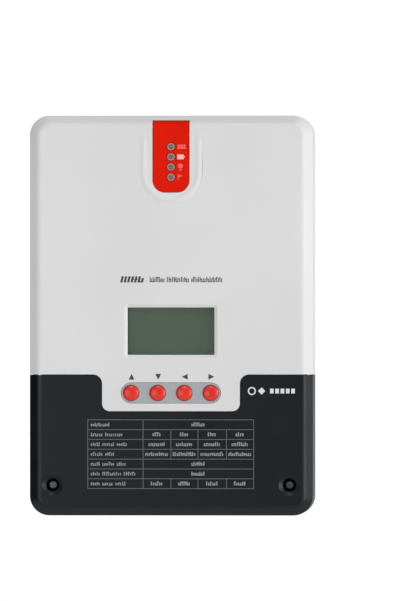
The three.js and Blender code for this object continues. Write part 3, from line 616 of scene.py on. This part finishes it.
camera_data = bpy.data.cameras.new("camera")
camera_data.sensor_width = LONG_SENSOR
camera_data.lens = LONG_SENSOR * DISTANCE / VIEW_HEIGHT
camera_data.clip_end = 100
camera = linked("camera", camera_data)
bpy.context.scene.camera = camera
aim = Vector((SIDE_OFFSET, FACE_Y, RISE)) * MM
away = Vector((math.sin(math.radians(YAW)), -math.cos(math.radians(YAW)), 0))
camera.location = aim + away * DISTANCE * MM
camera.rotation_euler = (-away).to_track_quat("-Z", "Y").to_euler()

# ---- front shell ----
TAB_BACK_Y = -78
FLOOR_Z = SPLIT_Z + WALL
SINK_ROOM_HALF = 97  # room in the shell's floor for the heatsink
SINK_ROOM_Y = -56
BOSS_RADIUS = 4.5  # bosses for the screws from the back
BOSS_Y = (-62, -45.6)
BOSS_HOLE_Y = (-60, -44)
TONGUE_SLOT_Y = -88  # back of the slot that the tongue fills
RIB_HALF = 1.5
RIB_BACK_Y = -50
M4_CLEAR = 2.3  # radius of a hole that an M4 screw passes through
window_low, window_high = Vector((-31.1, 0, -28.1)), Vector((31.1, 0, 5.8))
WINDOW_FLARE = 2.2
FLARE_DEPTH = 1.3
SEAM = 0.14  # visible gap round the tongue and the keypad strip
keys = [n for n in frame["nodes"] if n.startswith("button_")]
KEY_Z = middle(keys[0]).z
STRIP_HALF = 35.85
STRIP_RADIUS = 7.5
TONGUE_HALF = 13.15
TONGUE_TOP = span("led_panel")[1].z
TONGUE_BOTTOM = 88.2
TONGUE_RADIUS = 8.7
BEAD_CREST = 19.7  # half-width of the bead, at its crest
BEAD_HALF = 2.9
BEAD_RISE = 0.62
BEAD_TOP = 133.5
BEAD_FADE = 11  # length over which its arms sink into the face
BEAD_DROP = 5.2  # from the bottom of the tongue to the bead's crest
WELL_X = middle("cover_screw_right").x
WELL_Z = middle("cover_screw_right").z


def window_cutter():
    """The display's opening, flared and softened towards the front."""
    flared = FACE_Y + FLARE_DEPTH
    corners = [(0, INNER_Y + 2), (0, flared), (WINDOW_FLARE, FACE_Y), (WINDOW_FLARE + 0.2, FACE_Y - 2)]
    rings = []
    for grow, y in filleted(corners, [0.5, 0.8], 5):
        x0, x1 = window_low.x - grow, window_high.x + grow
        z0, z1 = window_low.z - grow, window_high.z + grow
        rings.append([(x, y, z) for x, z in rounded_rect(x0, x1, z0, z1, 0.6 + grow, 6)])
    return loft(rings)


def strip_outline(grow):
    r = STRIP_RADIUS + grow
    return rounded_rect(-STRIP_HALF - grow, STRIP_HALF + grow, KEY_Z - r, KEY_Z + r, r - 0.01)


def bead_path():
    """Points (x, z) of the U with their outward directions, from the top left round to the top right."""
    crest, arm, turn = BEAD_CREST, 16, 40
    low = TONGUE_BOTTOM - BEAD_DROP + crest
    path = [(-crest, BEAD_TOP - (BEAD_TOP - low) * i / arm, -1, 0) for i in range(arm)]
    for i in range(turn + 1):
        a = math.radians(180 + 180 * i / turn)
        path.append((crest * math.cos(a), low + crest * math.sin(a), math.cos(a), math.sin(a)))
    return path + [(crest, low + (BEAD_TOP - low) * i / arm, 1, 0) for i in range(1, arm + 1)]


def bead():
    """The raised U round the tongue, with arms that fade out below the top bevel."""
    half, steps = BEAD_HALF, 12
    rings = []
    for x, z, nx, nz in bead_path():
        fade = min(1, max(0.02, (BEAD_TOP - z) / BEAD_FADE))
        height = BEAD_RISE * (3 * fade**2 - 2 * fade**3)
        ring = []
        for k in range(steps + 1):
            u = -1 + 2 * k / steps
            lift = height * math.cos(u * math.pi / 2) ** 2
            ring.append((x + nx * u * half, FACE_Y - lift, z + nz * u * half))
        ring += [(x + nx * u * half, FACE_Y + 1, z + nz * u * half) for u in (1, -1)]
        rings.append(ring)
    return loft(rings)


def front_shell():
    shell = as_object(body_block(0, BODY_ROUND))
    intersect(shell, prism(upper_outline(0), 2 * PAST, FACE_Y - 2 * PAST))
    cavity = as_object(body_block(WALL, 5))
    intersect(cavity, block(-HALF_X, HALF_X, FACE_Y - PAST, PAST, FLOOR_Z, TOP_Z))
    room = bmesh.new()
    room.from_mesh(cavity.data)
    bpy.data.objects.remove(cavity)
    pocket = TAB_HALF - WALL
    tongue_slot = tongue_outline(
        TONGUE_HALF + SEAM, TONGUE_BOTTOM - SEAM, TONGUE_TOP + SEAM, TONGUE_RADIUS + SEAM
    )
    subtract(
        shell,
        room,
        block(-HALF_X - PAST, HALF_X + PAST, TAB_BACK_Y, PAST, TAB_Z - PAST, SPLIT_Z),
        prism(rounded_rect(-pocket, pocket, TAB_Z + WALL, FLOOR_Z + 6, 2.5), INNER_Y, TAB_BACK_Y - WALL),
        block(-SINK_ROOM_HALF, SINK_ROOM_HALF, SINK_ROOM_Y, PAST, SPLIT_Z - 1, FLOOR_Z + 1),
        window_cutter(),
        prism(strip_outline(0), INNER_Y + 2, FACE_Y - 2),
        prism(tongue_slot, TONGUE_SLOT_Y, FACE_Y - 2),
    )
    for number in range(1, 5):
        at = middle(f"shell_screw_{number}")
        wall_z = TOP_Z - WALL / 2 if at.z > 0 else SPLIT_Z + WALL / 2
        z0, z1 = sorted((at.z, wall_z))
        rib = block(at.x - RIB_HALF, at.x + RIB_HALF, BOSS_Y[0], RIB_BACK_Y, z0, z1)
        add(shell, rod(BOSS_RADIUS, at.x, at.z, *BOSS_Y), rib)
        subtract(shell, rod(M4_CLEAR, at.x, at.z, *BOSS_HOLE_Y, 32))
    return stands_for(shell, "front_shell", WHITE, 0.35)


front_shell()
finished(softened(as_object(bead()), 0), "shell_bead", "root", WHITE)


# ---- wiring cover ----
WELL_RADIUS = 4.75
WELL_DEPTH = 11
TUBE_RADIUS = 7  # tubes that the wells are in
TUBE_BACK_Y = -45.3
PLATE_NOTCH = (-78.3, 72.3, -76)  # left, right and front of the notch for the cable plate


def well_cutter(x):
    """A screw well with its dished, softened rim."""
    profile = [(0, -3), (8.1, -3), (7.7, 0), (5.3, 1.5), (WELL_RADIUS, 1.9), (WELL_RADIUS, WELL_DEPTH)]
    rounded = filleted(profile + [(0, WELL_DEPTH)], [0.01, 0.3, 0.4, 0.3, 0.3], 3)
    return turned(rounded, x, WELL_Z, FACE_Y, 1, 64)


def terminal_cover():
    cover = as_object(body_block(0, BODY_ROUND))
    subtract(cover, prism(upper_outline(GAP), 2 * PAST, FACE_Y - 2 * PAST), body_block(WALL, 5))
    for x in (-WELL_X, WELL_X):
        add(cover, rod(TUBE_RADIUS, x, WELL_Z, FACE_Y + 1, TUBE_BACK_Y))
    for x in (-WELL_X, WELL_X):
        subtract(cover, well_cutter(x), rod(M4_CLEAR, x, WELL_Z, FACE_Y, -40, 32))
    left, right, front = PLATE_NOTCH
    subtract(cover, block(left, right, front, PAST, BOTTOM_Z - 2, BOTTOM_Z + WALL + 0.01))
    return stands_for(cover, "terminal_cover", BLACK, 0.35)


terminal_cover()
refined("cable_plate", BLACK, 0.3)


# ---- tongue and lamps ----
TONGUE_DROP = 0.25  # how far the tongue's face lies behind the shell's
TONGUE_BACK_Y = -93
RED_FLANGE = (-16, 16, 85.5, 131, 4)  # left, right, bottom, top and corner of its hidden edge
RED_FLANGE_Y = (-94.9, -96.7)
LAMPS = ["led_solar", "led_battery", "led_load", "led_fault"]
LAMP_RADIUS = 2.6
LAMP_HOLE = 2.85
DOME_RADIUS = 1.75
DOME_HEIGHT = 0.9
RING_INNER = 1.85


def tongue():
    piece = as_object(body_block(TONGUE_DROP, 6.2))
    subtract(piece, body_block(5, 4))
    outline = tongue_outline(TONGUE_HALF, TONGUE_BOTTOM, TONGUE_TOP, TONGUE_RADIUS)
    intersect(piece, prism(outline, TONGUE_BACK_Y, FACE_Y - PAST))
    add(piece, prism(rounded_rect(*RED_FLANGE), *RED_FLANGE_Y))
    subtract(piece, *[rod(LAMP_HOLE, 0, middle(n).z, FACE_Y - 3, -90) for n in LAMPS])
    return stands_for(piece, "led_panel", TONGUE_RED, 0.5, 3)


def indicator(lamp):
    """A lamp with a low dome, and the lighter rim round it."""
    low, high = span(lamp)
    tip = high.y - low.y
    at = middle(lamp)
    profile = [(0, 0), (LAMP_HOLE, 0), (LAMP_HOLE, 5.5), (DOME_RADIUS, 5.6)]
    for i in range(8):
        a = i * math.pi / 16
        profile.append((DOME_RADIUS * math.cos(a), tip - DOME_HEIGHT + DOME_HEIGHT * math.sin(a)))
    stands_for(as_object(turned(profile + [(0, tip)], at.x, at.z, high.y)), lamp, LAMP, 0)
    rim = [(RING_INNER, 6), (LAMP_RADIUS, 6), (LAMP_RADIUS, tip - 0.7)]
    rim += [(2.35, tip - 0.35), (2.1, tip - 0.35), (RING_INNER, tip - 0.6), (RING_INNER, 6)]
    piece = softened(as_object(turned(rim, at.x, at.z, high.y)), 0)
    finished(piece, lamp + "_ring", "root", LAMP_RING)


tongue()
for lamp in LAMPS:
    indicator(lamp)

# ---- display ----
refined("lcd_window", WINDOW, 0.15)
refined("lcd_panel", DISPLAY, 0.2)
refined("lcd_frame", DARK, 0.3)


# ---- keys ----
KEY_RADIUS = 5.55
KEY_FLANGE = 6.85  # radius of the rim that keeps a key in
DOME_RISE = 1.75
STRIP_Y = (-96, FACE_Y + 0.3)
STRIP_FLANGE = 2.2  # how far the strip's hidden edge reaches past its slot
STRIP_FLANGE_Y = (-95.5, -96.7)


def keypad_strip():
    piece = as_object(prism(strip_outline(-SEAM), *STRIP_Y))
    add(piece, prism(strip_outline(STRIP_FLANGE), *STRIP_FLANGE_Y))
    subtract(piece, *[rod(KEY_RADIUS + GAP, middle(n).x, KEY_Z, FACE_Y - 2, -90) for n in keys])
    return stands_for(piece, "keypad_bezel", STRIP_GREY, 0.25)


def button(key):
    """A round key: a stem and a rim behind the strip, and a front that is part of a sphere."""
    low, high = span(key)
    tall = high.y - low.y
    ball = (KEY_RADIUS**2 + DOME_RISE**2) / 2 / DOME_RISE
    profile = [(0, 0), (2, 0), (2, 1.2), (KEY_FLANGE, 1.2), (KEY_FLANGE, 2.3), (KEY_RADIUS, 2.3)]
    profile += [(KEY_RADIUS, tall - DOME_RISE - 0.25), (KEY_RADIUS - 0.08, tall - DOME_RISE - 0.08)]
    for i in range(1, 13):
        r = (KEY_RADIUS - 0.2) * (1 - i / 12)
        profile.append((r, tall - ball + math.sqrt(ball**2 - r**2)))
    piece = as_object(turned(profile, middle(key).x, KEY_Z, high.y, -1, 64))
    stands_for(piece, key, KEY_RED, 0)


keypad_strip()
for key in keys:
    button(key)


# ---- screws ----
M4_HEAD = 4  # radius
M4_HEAD_HEIGHT = 2.6


def threaded(radius, start, end, pitch=0.7, depth=0.22):
    """Points of a thread's outline between two distances along the screw."""
    turns = int((end - start) / pitch)
    points = []
    for i in range(turns):
        at = start + (end - start) * i / turns
        points += [(radius - depth, at), (radius, at + pitch * 0.35), (radius, at + pitch * 0.5)]
    return points + [(radius - depth, end)]


def cross_recess(x, z, y0, y1, length, width):
    a, b = length / 2, width / 2
    return [block(x - i, x + i, y0, y1, z - j, z + j) for i, j in ((a, b), (b, a))]


def pan_screw(node, material, thread_length, facing):
    """An M4 pan-head screw along Y; facing is -1 for a head at the front and 1 for one at the back."""
    low, high = span(node)
    at, length = middle(node), high.y - low.y
    shank = length - M4_HEAD_HEIGHT
    profile = [(0, 0), (1.5, 0)] + threaded(2, 0.5, thread_length)
    profile += [(1.95, thread_length + 0.4), (1.95, shank), (3.9, shank), (M4_HEAD, shank + 0.15)]
    for a in (0, 0.4, 0.8, 1.1, 1.35):
        profile.append((M4_HEAD * math.cos(a) ** 0.5, shank + 0.9 + 1.7 * math.sin(a)))
    profile.append((0, length))
    base, tip = (high.y, low.y) if facing < 0 else (low.y, high.y)
    piece = as_object(turned(profile, at.x, at.z, base, facing, 40))
    y0, y1 = sorted((tip + facing * 0.5, tip - facing * 1.7))
    subtract(piece, *cross_recess(at.x, at.z, y0, y1, 4.4, 1.0))
    stands_for(piece, node, material, 0.1)


def terminal_screw(node):
    low, high = span(node)
    at, length = middle(node), high.y - low.y
    profile = [(0, 0), (1.9, 0)] + threaded(2.4, 0.6, 12.2, 0.8, 0.25)
    profile += [(2.3, 12.6), (4.0, 12.6), (4.1, 12.75), (4.1, 15.7), (3.9, 16.1)]
    profile += [(3.5, length), (0, length)]
    piece = as_object(turned(profile, at.x, at.z, high.y, -1, 40))
    subtract(piece, *cross_recess(at.x, at.z, low.y - 1, low.y + 1.8, 5.4, 1.2))
    stands_for(piece, node, STEEL, 0.12)


for node in ("cover_screw_left", "cover_screw_right"):
    pan_screw(node, BLACK_STEEL, 14, -1)
for number in range(1, 5):
    pan_screw(f"shell_screw_{number}", STEEL, 16, 1)
for number in range(1, 7):
    terminal_screw(f"terminal_screw_{number}")


# ---- power board parts ----
BOARD_Y = span("main_board")[0].y
WINDING_TURNS = 30
WINDING_RADII = (9.9, 23.9)  # hole and rim of a wound inductor
WIRE_RADIUS = 0.8


def tube_loop(path, radius):
    """A closed round tube through a closed list of points."""
    rings, sides = [], 8
    for i, at in enumerate(path):
        along = (path[(i + 1) % len(path)] - path[i - 1]).normalized()
        side = along.cross(Vector((0, 0, 1)) if abs(along.z) < 0.9 else Vector((1, 0, 0))).normalized()
        other = along.cross(side)
        angles = [2 * math.pi * k / sides for k in range(sides)]
        rings.append([at + (side * math.cos(a) + other * math.sin(a)) * radius for a in angles])
    bm = bmesh.new()
    rows = [[bm.verts.new(p) for p in ring] for ring in rings]
    for row, after in zip(rows, rows[1:] + rows[:1]):
        start = min(range(sides), key=lambda k: (after[k].co - row[0].co).length)
        for k in range(sides):
            j = (k + 1) % sides
            bm.faces.new((row[k], row[j], after[(j + start) % sides], after[(k + start) % sides]))
    bmesh.ops.recalc_face_normals(bm, faces=bm.faces)
    return bm


def turn_path(at, angle, r0, r1, y0, y1):
    """One turn of wire round the ring's section, slanting a little from turn to turn."""
    out = Vector((math.cos(angle), 0, math.sin(angle)))
    lean = Vector((-out.z, 0, out.x)) * 0.5
    corners = [(r0, y0 - 1), (r0 + 1, y0), (r1 - 1, y0), (r1, y0 - 1)]
    corners += [(r1, y1 + 1), (r1 - 1, y1), (r0 + 1, y1), (r0, y1 + 1)]
    halfway = (r0 + r1) / 2
    return [Vector((at.x, y, at.z)) + out * r + lean * (1 if r > halfway else -1) for r, y in corners]


def inductor(node):
    """A ferrite ring wound with thick enamelled wire."""
    low, high = span(node)
    at = middle(node)
    wire = WIRE_RADIUS
    inner, outer = WINDING_RADII[0] + wire, WINDING_RADII[1] - 2 * wire
    back, front = high.y - 2 * wire - 0.1, low.y + 2 * wire + 0.1
    deep = back - front
    core = [(inner, 0.4), (inner + 0.4, 0), (outer - 0.4, 0), (outer, 0.4), (outer, deep - 0.4)]
    core += [(outer - 0.4, deep), (inner + 0.4, deep), (inner, deep - 0.4), (inner, 0.4)]
    stands_for(as_object(turned(core, at.x, at.z, back, -1, 64)), node, FERRITE, 0.0)
    turns = []
    for i in range(WINDING_TURNS):
        angle = 2 * math.pi * i / WINDING_TURNS
        path = turn_path(at, angle, inner - wire, outer + wire, back + wire, front - wire)
        turns.append(tube_loop(path, wire * 0.98))
    piece = gathered(turns)
    shaded(piece, 50)
    finished(piece, node + "_winding", "root", COPPER)


def capacitor(node):
    """A sleeved can with a crimped groove and a vented aluminium top."""
    low, high = span(node)
    at, tall = middle(node), high.y - low.y
    can = [(0, 0), (10.2, 0), (10.9, 0.7), (11, 1.4), (11, 3), (10.4, 3.8), (11, 4.6), (11, tall - 1.2)]
    can += [(10.8, tall - 0.5), (10.2, tall - 0.15), (9.4, tall - 0.25), (9.2, tall - 0.5), (0, tall - 0.5)]
    stands_for(as_object(turned(can, at.x, at.z, high.y, -1, 64)), node, SLEEVE, 0)
    disc = [(0, tall - 0.6), (9.1, tall - 0.6), (9.1, tall - 0.3), (8.9, tall), (0, tall)]
    top = as_object(turned(disc, at.x, at.z, high.y, -1, 64))
    subtract(top, *cross_recess(at.x, at.z, low.y - 1, low.y + 0.15, 12, 0.6))
    softened(top, 0)
    finished(top, node + "_top", "root", ALUMINIUM)


for number in (1, 2):
    inductor(f"inductor_{number}")
for number in (1, 2, 3):
    capacitor(f"capacitor_{number}")

# chips on the power board: x, z, width, height
CHIPS = [(24, -62, 12, 12), (-4, -64, 9, 6), (-30, -60, 8, 8), (40, -66, 6, 8), (-58, -92, 8, 10)]
CHIPS += [(-62, -70, 6, 5), (-48, 4, 10, 7), (30, 20, 8, 8), (-66, -114, 6, 5)]
CHIP_HEIGHT = 1.3
LEAD_PITCH = 1.1
# rows of small ceramic parts: x of the first, z, how many, pitch
CERAMIC_ROWS = [(12, -74, 9, 2.6), (-20, -74, 7, 3.1), (-46, -66, 5, 3.4), (44, -54, 4, 3.2)]
CERAMIC_ROWS += [(-56, -56, 4, 3)]


def board_parts():
    """Chips with gull-wing leads, and rows of small ceramic parts with tinned ends."""
    bodies, leads, ceramics = [], [], []
    for x, z, wide, tall in CHIPS:
        top = BOARD_Y - CHIP_HEIGHT - 0.15
        bodies.append(block(x - wide / 2, x + wide / 2, top, BOARD_Y - 0.15, z - tall / 2, z + tall / 2))
        count = int(tall / LEAD_PITCH)
        for i in range(count):
            at = z + (i - (count - 1) / 2) * LEAD_PITCH
            for side in (-1, 1):
                x0, x1 = sorted((x + side * (wide / 2 - 0.1), x + side * (wide / 2 + 0.9)))
                leads.append(block(x0, x1, BOARD_Y - 0.35, BOARD_Y - 0.05, at - 0.22, at + 0.22))
    for x, z, count, step in CERAMIC_ROWS:
        for i in range(count):
            at = x + i * step
            ceramics.append(block(at - 0.55, at + 0.55, BOARD_Y - 0.85, BOARD_Y - 0.05, z - 0.7, z + 0.7))
            for side in (-1, 1):
                z0, z1 = sorted((z + side * 0.7, z + side * 1.15))
                leads.append(block(at - 0.6, at + 0.6, BOARD_Y - 0.9, BOARD_Y - 0.03, z0, z1))
    for parts, name, slot, material, edge in (
        (bodies, "board_chips", "transistor_black", EPOXY, 0.12),
        (leads, "board_leads", "screw_steel", TIN, 0),
        (ceramics, "board_ceramics", "nylon", CERAMIC, 0.1),
    ):
        piece = softened(gathered(parts), edge)
        finished(piece, name, "root", material)


board_parts()


def socket_contacts():
    """Eight sprung contacts in the data socket and two in the sensor socket."""
    data, sensor = middle("comm_port"), middle("sensor_port")
    bottom = span("comm_port")[0].z
    parts = []
    for i in range(8):
        x = data.x + (i - 3.5) * 1.02
        parts.append(block(x - 0.2, x + 0.2, -56.7, -56.3, bottom + 1.5, bottom + 11.5))
    for side in (-1, 1):
        x = sensor.x + side * 1.27
        parts.append(block(x - 0.32, x + 0.32, -58.2, -57.5, bottom + 1.5, bottom + 8.5))
    finished(softened(gathered(parts), 0.06), "socket_contacts", "root", GOLD)


socket_contacts()

# ---- everything else keeps its CAD shape, with softened edges ----
FINISHES = {
    "heatsink": (ALUMINIUM, 0.3),
    "shell_gasket": (RUBBER, 0.2),
    "display_board": (BOARD, 0.15),
    "main_board": (BOARD, 0.15),
    "board_standoff": (NYLON, 0.2),
    "terminal_block": (HOUSING, 0.4),
    "terminal_cage": (CAGE_STEEL, 0.3),
    "comm_port": (DARK, 0.3),
    "sensor_port": (PORT_GREEN, 0.25),
    "power_transistor": (EPOXY, 0.2),
    "transistor_clamp": (SHEET_STEEL, 0.3),
    "ribbon_cable": (RIBBON, 0.1),
    "key_switch": (DARK, 0.2),
}
for node in sorted(frame["nodes"]):
    if not frame["nodes"][node].hide_render:
        family = next(name for name in FINISHES if node.startswith(name))
        refined(node, *FINISHES[family])


# ---- prints ----
INK = 0.05  # how far the front of an ink layer stands off its surface
INK_DEPTH = 0.04


def flat_print(name, outlines, material, body, y=FACE_Y):
    """A layer of ink: each outline is a closed list of (x, z)."""
    layers = [prism(outline, y - INK, y - INK + INK_DEPTH) for outline in outlines]
    return finished(gathered(layers), name, body, material)


rng = random.Random(7)


def bar(x0, x1, z0, z1, slant=0.0):
    return [(x0, z0), (x1, z0), (x1 + slant * (z1 - z0), z1), (x0 + slant * (z1 - z0), z1)]


def word_bars(x0, x1, z0, height, count, weight, slant=0.0):
    """A word-length run of upright dashes that stands in for printed words without spelling any."""
    bars = []
    pitch = (x1 - x0) / count
    width = pitch * weight
    for i in range(count):
        left = x0 + i * pitch
        tall = height if rng.random() < 0.35 else height * 0.72
        bars.append(bar(left, left + width, z0, z0 + tall, slant))
        if rng.random() < 0.7 and i < count - 1:
            level = z0 + tall * rng.choice([0.0, 0.42, 0.8])
            bars.append(bar(left + width, left + pitch, level, level + 0.2 * height, slant))
    return bars


TITLE_Z = 23.7
words = word_bars(-36.4, -19.2, TITLE_Z, 4.4, 7, 0.66, 0.25)
flat_print("print_title_heavy", words, DARK_INK, "root")
words = []
for start, end, count in ((-15.2, -4.2, 10), (-2.9, 13.3, 13), (14.6, 37.2, 19)):
    words += word_bars(start, end, TITLE_Z + 0.2, 3.8, count, 0.6)
flat_print("print_title_light", words, GREY_INK, "root")


def arrow(cx, cz, size, direction):
    shape = [(-0.5, -0.5), (0.5, -0.5), (0, 0.5)]
    a = {"up": 0, "down": math.pi, "left": math.pi / 2, "right": -math.pi / 2}[direction]
    c, s = math.cos(a), math.sin(a)
    return [(cx + size * (x * c - z * s), cz + size * (x * s + z * c)) for x, z in shape]


ARROW_Z = -43.8
ARROW_SIZE = 4.2
arrows = [arrow(middle(k).x + 0.4, ARROW_Z, ARROW_SIZE, k.split("_")[1]) for k in keys]
flat_print("print_arrows", arrows, DARK_INK, "root")

# icons beside the lamps: a panel, a battery, a bulb and a flag, all plain pictograms
ICON_X = 7.2
icon_y = FACE_Y + TONGUE_DROP


def icon_panel(x, z):
    shapes = []
    for i in range(3):
        left = x - 3 + i * 2.05
        right = x - 1.25 + i * 2.05
        for j in range(2):
            shapes.append(bar(left, right, z - 1.6 + j * 1.7, z - 0.2 + j * 1.7, 0.15))
    return shapes


def icon_battery(x, z):
    return [bar(x - 2.5, x + 2.0, z - 1.7, z + 1.7), bar(x + 2.2, x + 2.8, z - 0.7, z + 0.7)]


def icon_bulb(x, z):
    return [circle(x, z + 0.7, 1.8, 20), bar(x - 0.8, x + 0.8, z - 2.5, z - 1.5)]


def icon_flag(x, z):
    pennant = [(x - 1.0, z + 1.9), (x + 1.8, z + 0.9), (x - 1.0, z - 0.1)]
    return [bar(x - 1.7, x - 1.2, z - 2, z + 2), pennant]


lamp_z = [middle(n).z for n in LAMPS]
dim = icon_panel(ICON_X + 0.4, lamp_z[0])
dim += icon_bulb(ICON_X - 0.4, lamp_z[2])
dim += icon_flag(ICON_X - 0.6, lamp_z[3])
flat_print("print_icons", dim, ICON_INK, "root", icon_y)
battery = icon_battery(ICON_X - 0.2, lamp_z[1])
flat_print("print_icon_battery", battery, ICON_BRIGHT, "root", icon_y)

# the ruled table on the cover
TABLE_TOP = -74.6
ROW = 7.04
ROWS = 7
COLUMNS = [-59.6, -19.95, -0.05, 19.4, 39.8, 59.3]
SPLIT_ROWS = {1: 3.2, 2: 6, 3: 8.4, 6: 4.4}  # rows with four cells, and half the width of their words
WIDE_WORD_HALF = 5  # of the words in the undivided rows
ROW_WORDS = [(14,), (9, 13), (7, 9, 8), (9, 7), (7, 9, 7), (7, 14, 9), (7, 8, 8)]  # in the first column
LINE = 0.45


def table_lines():
    lines = []
    for i in range(ROWS + 1):
        z = TABLE_TOP - i * ROW
        lines.append(bar(COLUMNS[0] - LINE / 2, COLUMNS[-1] + LINE / 2, z - LINE / 2, z + LINE / 2))
    whole, split = (COLUMNS[0], COLUMNS[1], COLUMNS[-1]), COLUMNS[2:-1]
    for columns, rows in ((whole, range(ROWS)), (split, SPLIT_ROWS)):
        for x in columns:
            for i in rows:
                top = TABLE_TOP - i * ROW - LINE / 2
                lines.append(bar(x - LINE / 2, x + LINE / 2, top - ROW + LINE, top))
    return lines


def table_words():
    bars = []
    for i in range(ROWS):
        base = TABLE_TOP - (i + 1) * ROW + 2.3
        reach = COLUMNS[0] + 2.2
        for length in ROW_WORDS[i]:
            end = min(reach + length, COLUMNS[1] - 1)
            bars += word_bars(reach, end, base, 2.6, max(3, int(length / 1.35)), 0.45)
            reach = end + 1.3
        if i in SPLIT_ROWS:
            cells = [(a + b) / 2 for a, b in zip(COLUMNS[1:], COLUMNS[2:])]
        else:
            cells = [(COLUMNS[1] + COLUMNS[-1]) / 2]
        half = SPLIT_ROWS.get(i, WIDE_WORD_HALF)
        for x in cells:
            bars += word_bars(x - half, x + half, base, 2.8, max(3, int(half * 1.5)), 0.55)
    return bars


flat_print("print_table_lines", table_lines(), PALE_INK, "terminal_cover")
flat_print("print_table_words", table_words(), TEXT_INK, "terminal_cover")

# plain shapes where the printed marks sit: a ring, a diamond, and a row of small bars
MARK_Z = -54


def ring(x, z, outer, inner):
    """A ring as one closed outline with a hairline slit."""
    return arc(x, z, outer, 0, 359.5, 40) + arc(x, z, inner, 359.5, 0, 40)


diamond = [(65, MARK_Z - 2.6), (67.6, MARK_Z), (65, MARK_Z + 2.6), (62.4, MARK_Z)]
marks = [ring(58, MARK_Z, 2.9, 2.0), diamond]
marks += [bar(71 + i * 3.8, 73.6 + i * 3.8, MARK_Z - 1.7, MARK_Z + 1.7) for i in range(5)]
flat_print("print_marks", marks, MARK_INK, "terminal_cover")

# ---- stage, light ----
FLOOR_DROP = 600
FLOOR_RADIUS = 2300
FLOOR_GLOW = 0.09


def floor_material():
    """Pale matt floor with a faint glow; it is clear from underneath, so the underside can be seen."""
    material = moulded("floor_pale", (0.82, 0.82, 0.81), (0.84, 0.84, 0.83), 0.6, 300, 0.02)
    tree = material.node_tree
    principled = tree.nodes["Principled BSDF"]
    set_inputs(principled, Emission_Color=(1, 1, 1, 1), Emission_Strength=FLOOR_GLOW)
    side = tree.nodes.new("ShaderNodeNewGeometry")
    clear = tree.nodes.new("ShaderNodeBsdfTransparent")
    choice = tree.nodes.new("ShaderNodeMixShader")
    tree.links.new(side.outputs["Backfacing"], choice.inputs["Fac"])
    tree.links.new(principled.outputs["BSDF"], choice.inputs[1])
    tree.links.new(clear.outputs["BSDF"], choice.inputs[2])
    tree.links.new(choice.outputs["Shader"], tree.nodes["Material Output"].inputs["Surface"])
    return material


def floor():
    """A round floor, one face thick, well below the controller."""
    bm = bmesh.new()
    rim = circle(0, -200, FLOOR_RADIUS, 96)
    bm.faces.new([bm.verts.new((x, y, BOTTOM_Z - FLOOR_DROP)) for x, y in rim])
    bmesh.ops.recalc_face_normals(bm, faces=bm.faces)
    if list(bm.faces)[0].normal.z < 0:
        bmesh.ops.reverse_faces(bm, faces=bm.faces)
    piece = as_object(bm, "floor")
    shaded(piece, 30)
    piece.data.transform(Matrix.Scale(MM, 4))
    piece.data.materials.append(floor_material())


floor()

# the studio's surround, by direction: axis, where the glow starts and is full, and how bright it is
BACKDROP = 1.05  # what the camera sees behind the controller
SURROUND_LEVEL = 0.13
SURROUND = [
    ((0, 1, 0), 0.45, 0.9, 0.5),
    ((1, 0, 0), 0.2, 1.0, 0.7),
    ((0, -1, 0), 0.6, 1.0, 0.2),
    ((0, 0, 1), 0.2, 1.0, 0.36),
    ((-1, 0, 0), 0.35, 0.85, -0.12),  # a black card at the left
]
world = bpy.data.worlds.new("studio")
bpy.context.scene.world = world
world.use_nodes = True
tree = world.node_tree
background = set_inputs(tree.nodes["Background"], Color=(1, 1, 1, 1))
direction = tree.nodes.new("ShaderNodeTexCoord")
glow = None
for axis, start, full, gain in SURROUND:
    facing = tree.nodes.new("ShaderNodeVectorMath")
    facing.operation = "DOT_PRODUCT"
    facing.inputs[1].default_value = axis
    tree.links.new(direction.outputs["Generated"], facing.inputs[0])
    lobe = ranged(tree, facing.outputs["Value"], 0, gain, start, full, "SMOOTHSTEP")
    total = tree.nodes.new("ShaderNodeMath")
    total.operation = "ADD"
    total.inputs[1].default_value = SURROUND_LEVEL  # where the first sum starts
    tree.links.new(lobe, total.inputs[0])
    if glow:
        tree.links.new(glow.outputs["Value"], total.inputs[1])
    glow = total
tree.links.new(glow.outputs["Value"], background.inputs["Strength"])
backdrop = tree.nodes.new("ShaderNodeBackground")
set_inputs(backdrop, Color=(1, 1, 1, 1), Strength=BACKDROP)
rays = tree.nodes.new("ShaderNodeLightPath")
seen = tree.nodes.new("ShaderNodeMixShader")
tree.links.new(rays.outputs["Is Camera Ray"], seen.inputs["Fac"])
tree.links.new(background.outputs["Background"], seen.inputs[1])
tree.links.new(backdrop.outputs["Background"], seen.inputs[2])
tree.links.new(seen.outputs["Shader"], tree.nodes["World Output"].inputs["Surface"])

# soft boxes: name, place, width and height in metres, and power in watts; all aim at the controller
SOFT_BOXES = [
    ("left_front", (-0.62, -0.97, -0.05), (0.8, 0.8), 4.5),
    ("right_side", (1.1, -0.55, 0.0), (0.5, 0.8), 6.9),
    ("high_front", (0.0, -0.9, 1.1), (0.6, 0.3), 3.7),
]


def soft_box(name, place, size, power):
    data = bpy.data.lights.new(name, "AREA")
    data.shape = "RECTANGLE"
    data.size, data.size_y = size
    data.energy = power
    light = linked(name, data)
    light.location = place
    aimed = Vector((0, FACE_Y * MM, 0)) - Vector(place)
    light.rotation_euler = aimed.to_track_quat("-Z", "Y").to_euler()
    light.visible_camera = False


for item in SOFT_BOXES:
    soft_box(*item)
bpy.context.scene.view_settings.view_transform = "Standard"
bpy.context.scene.view_settings.look = "None"
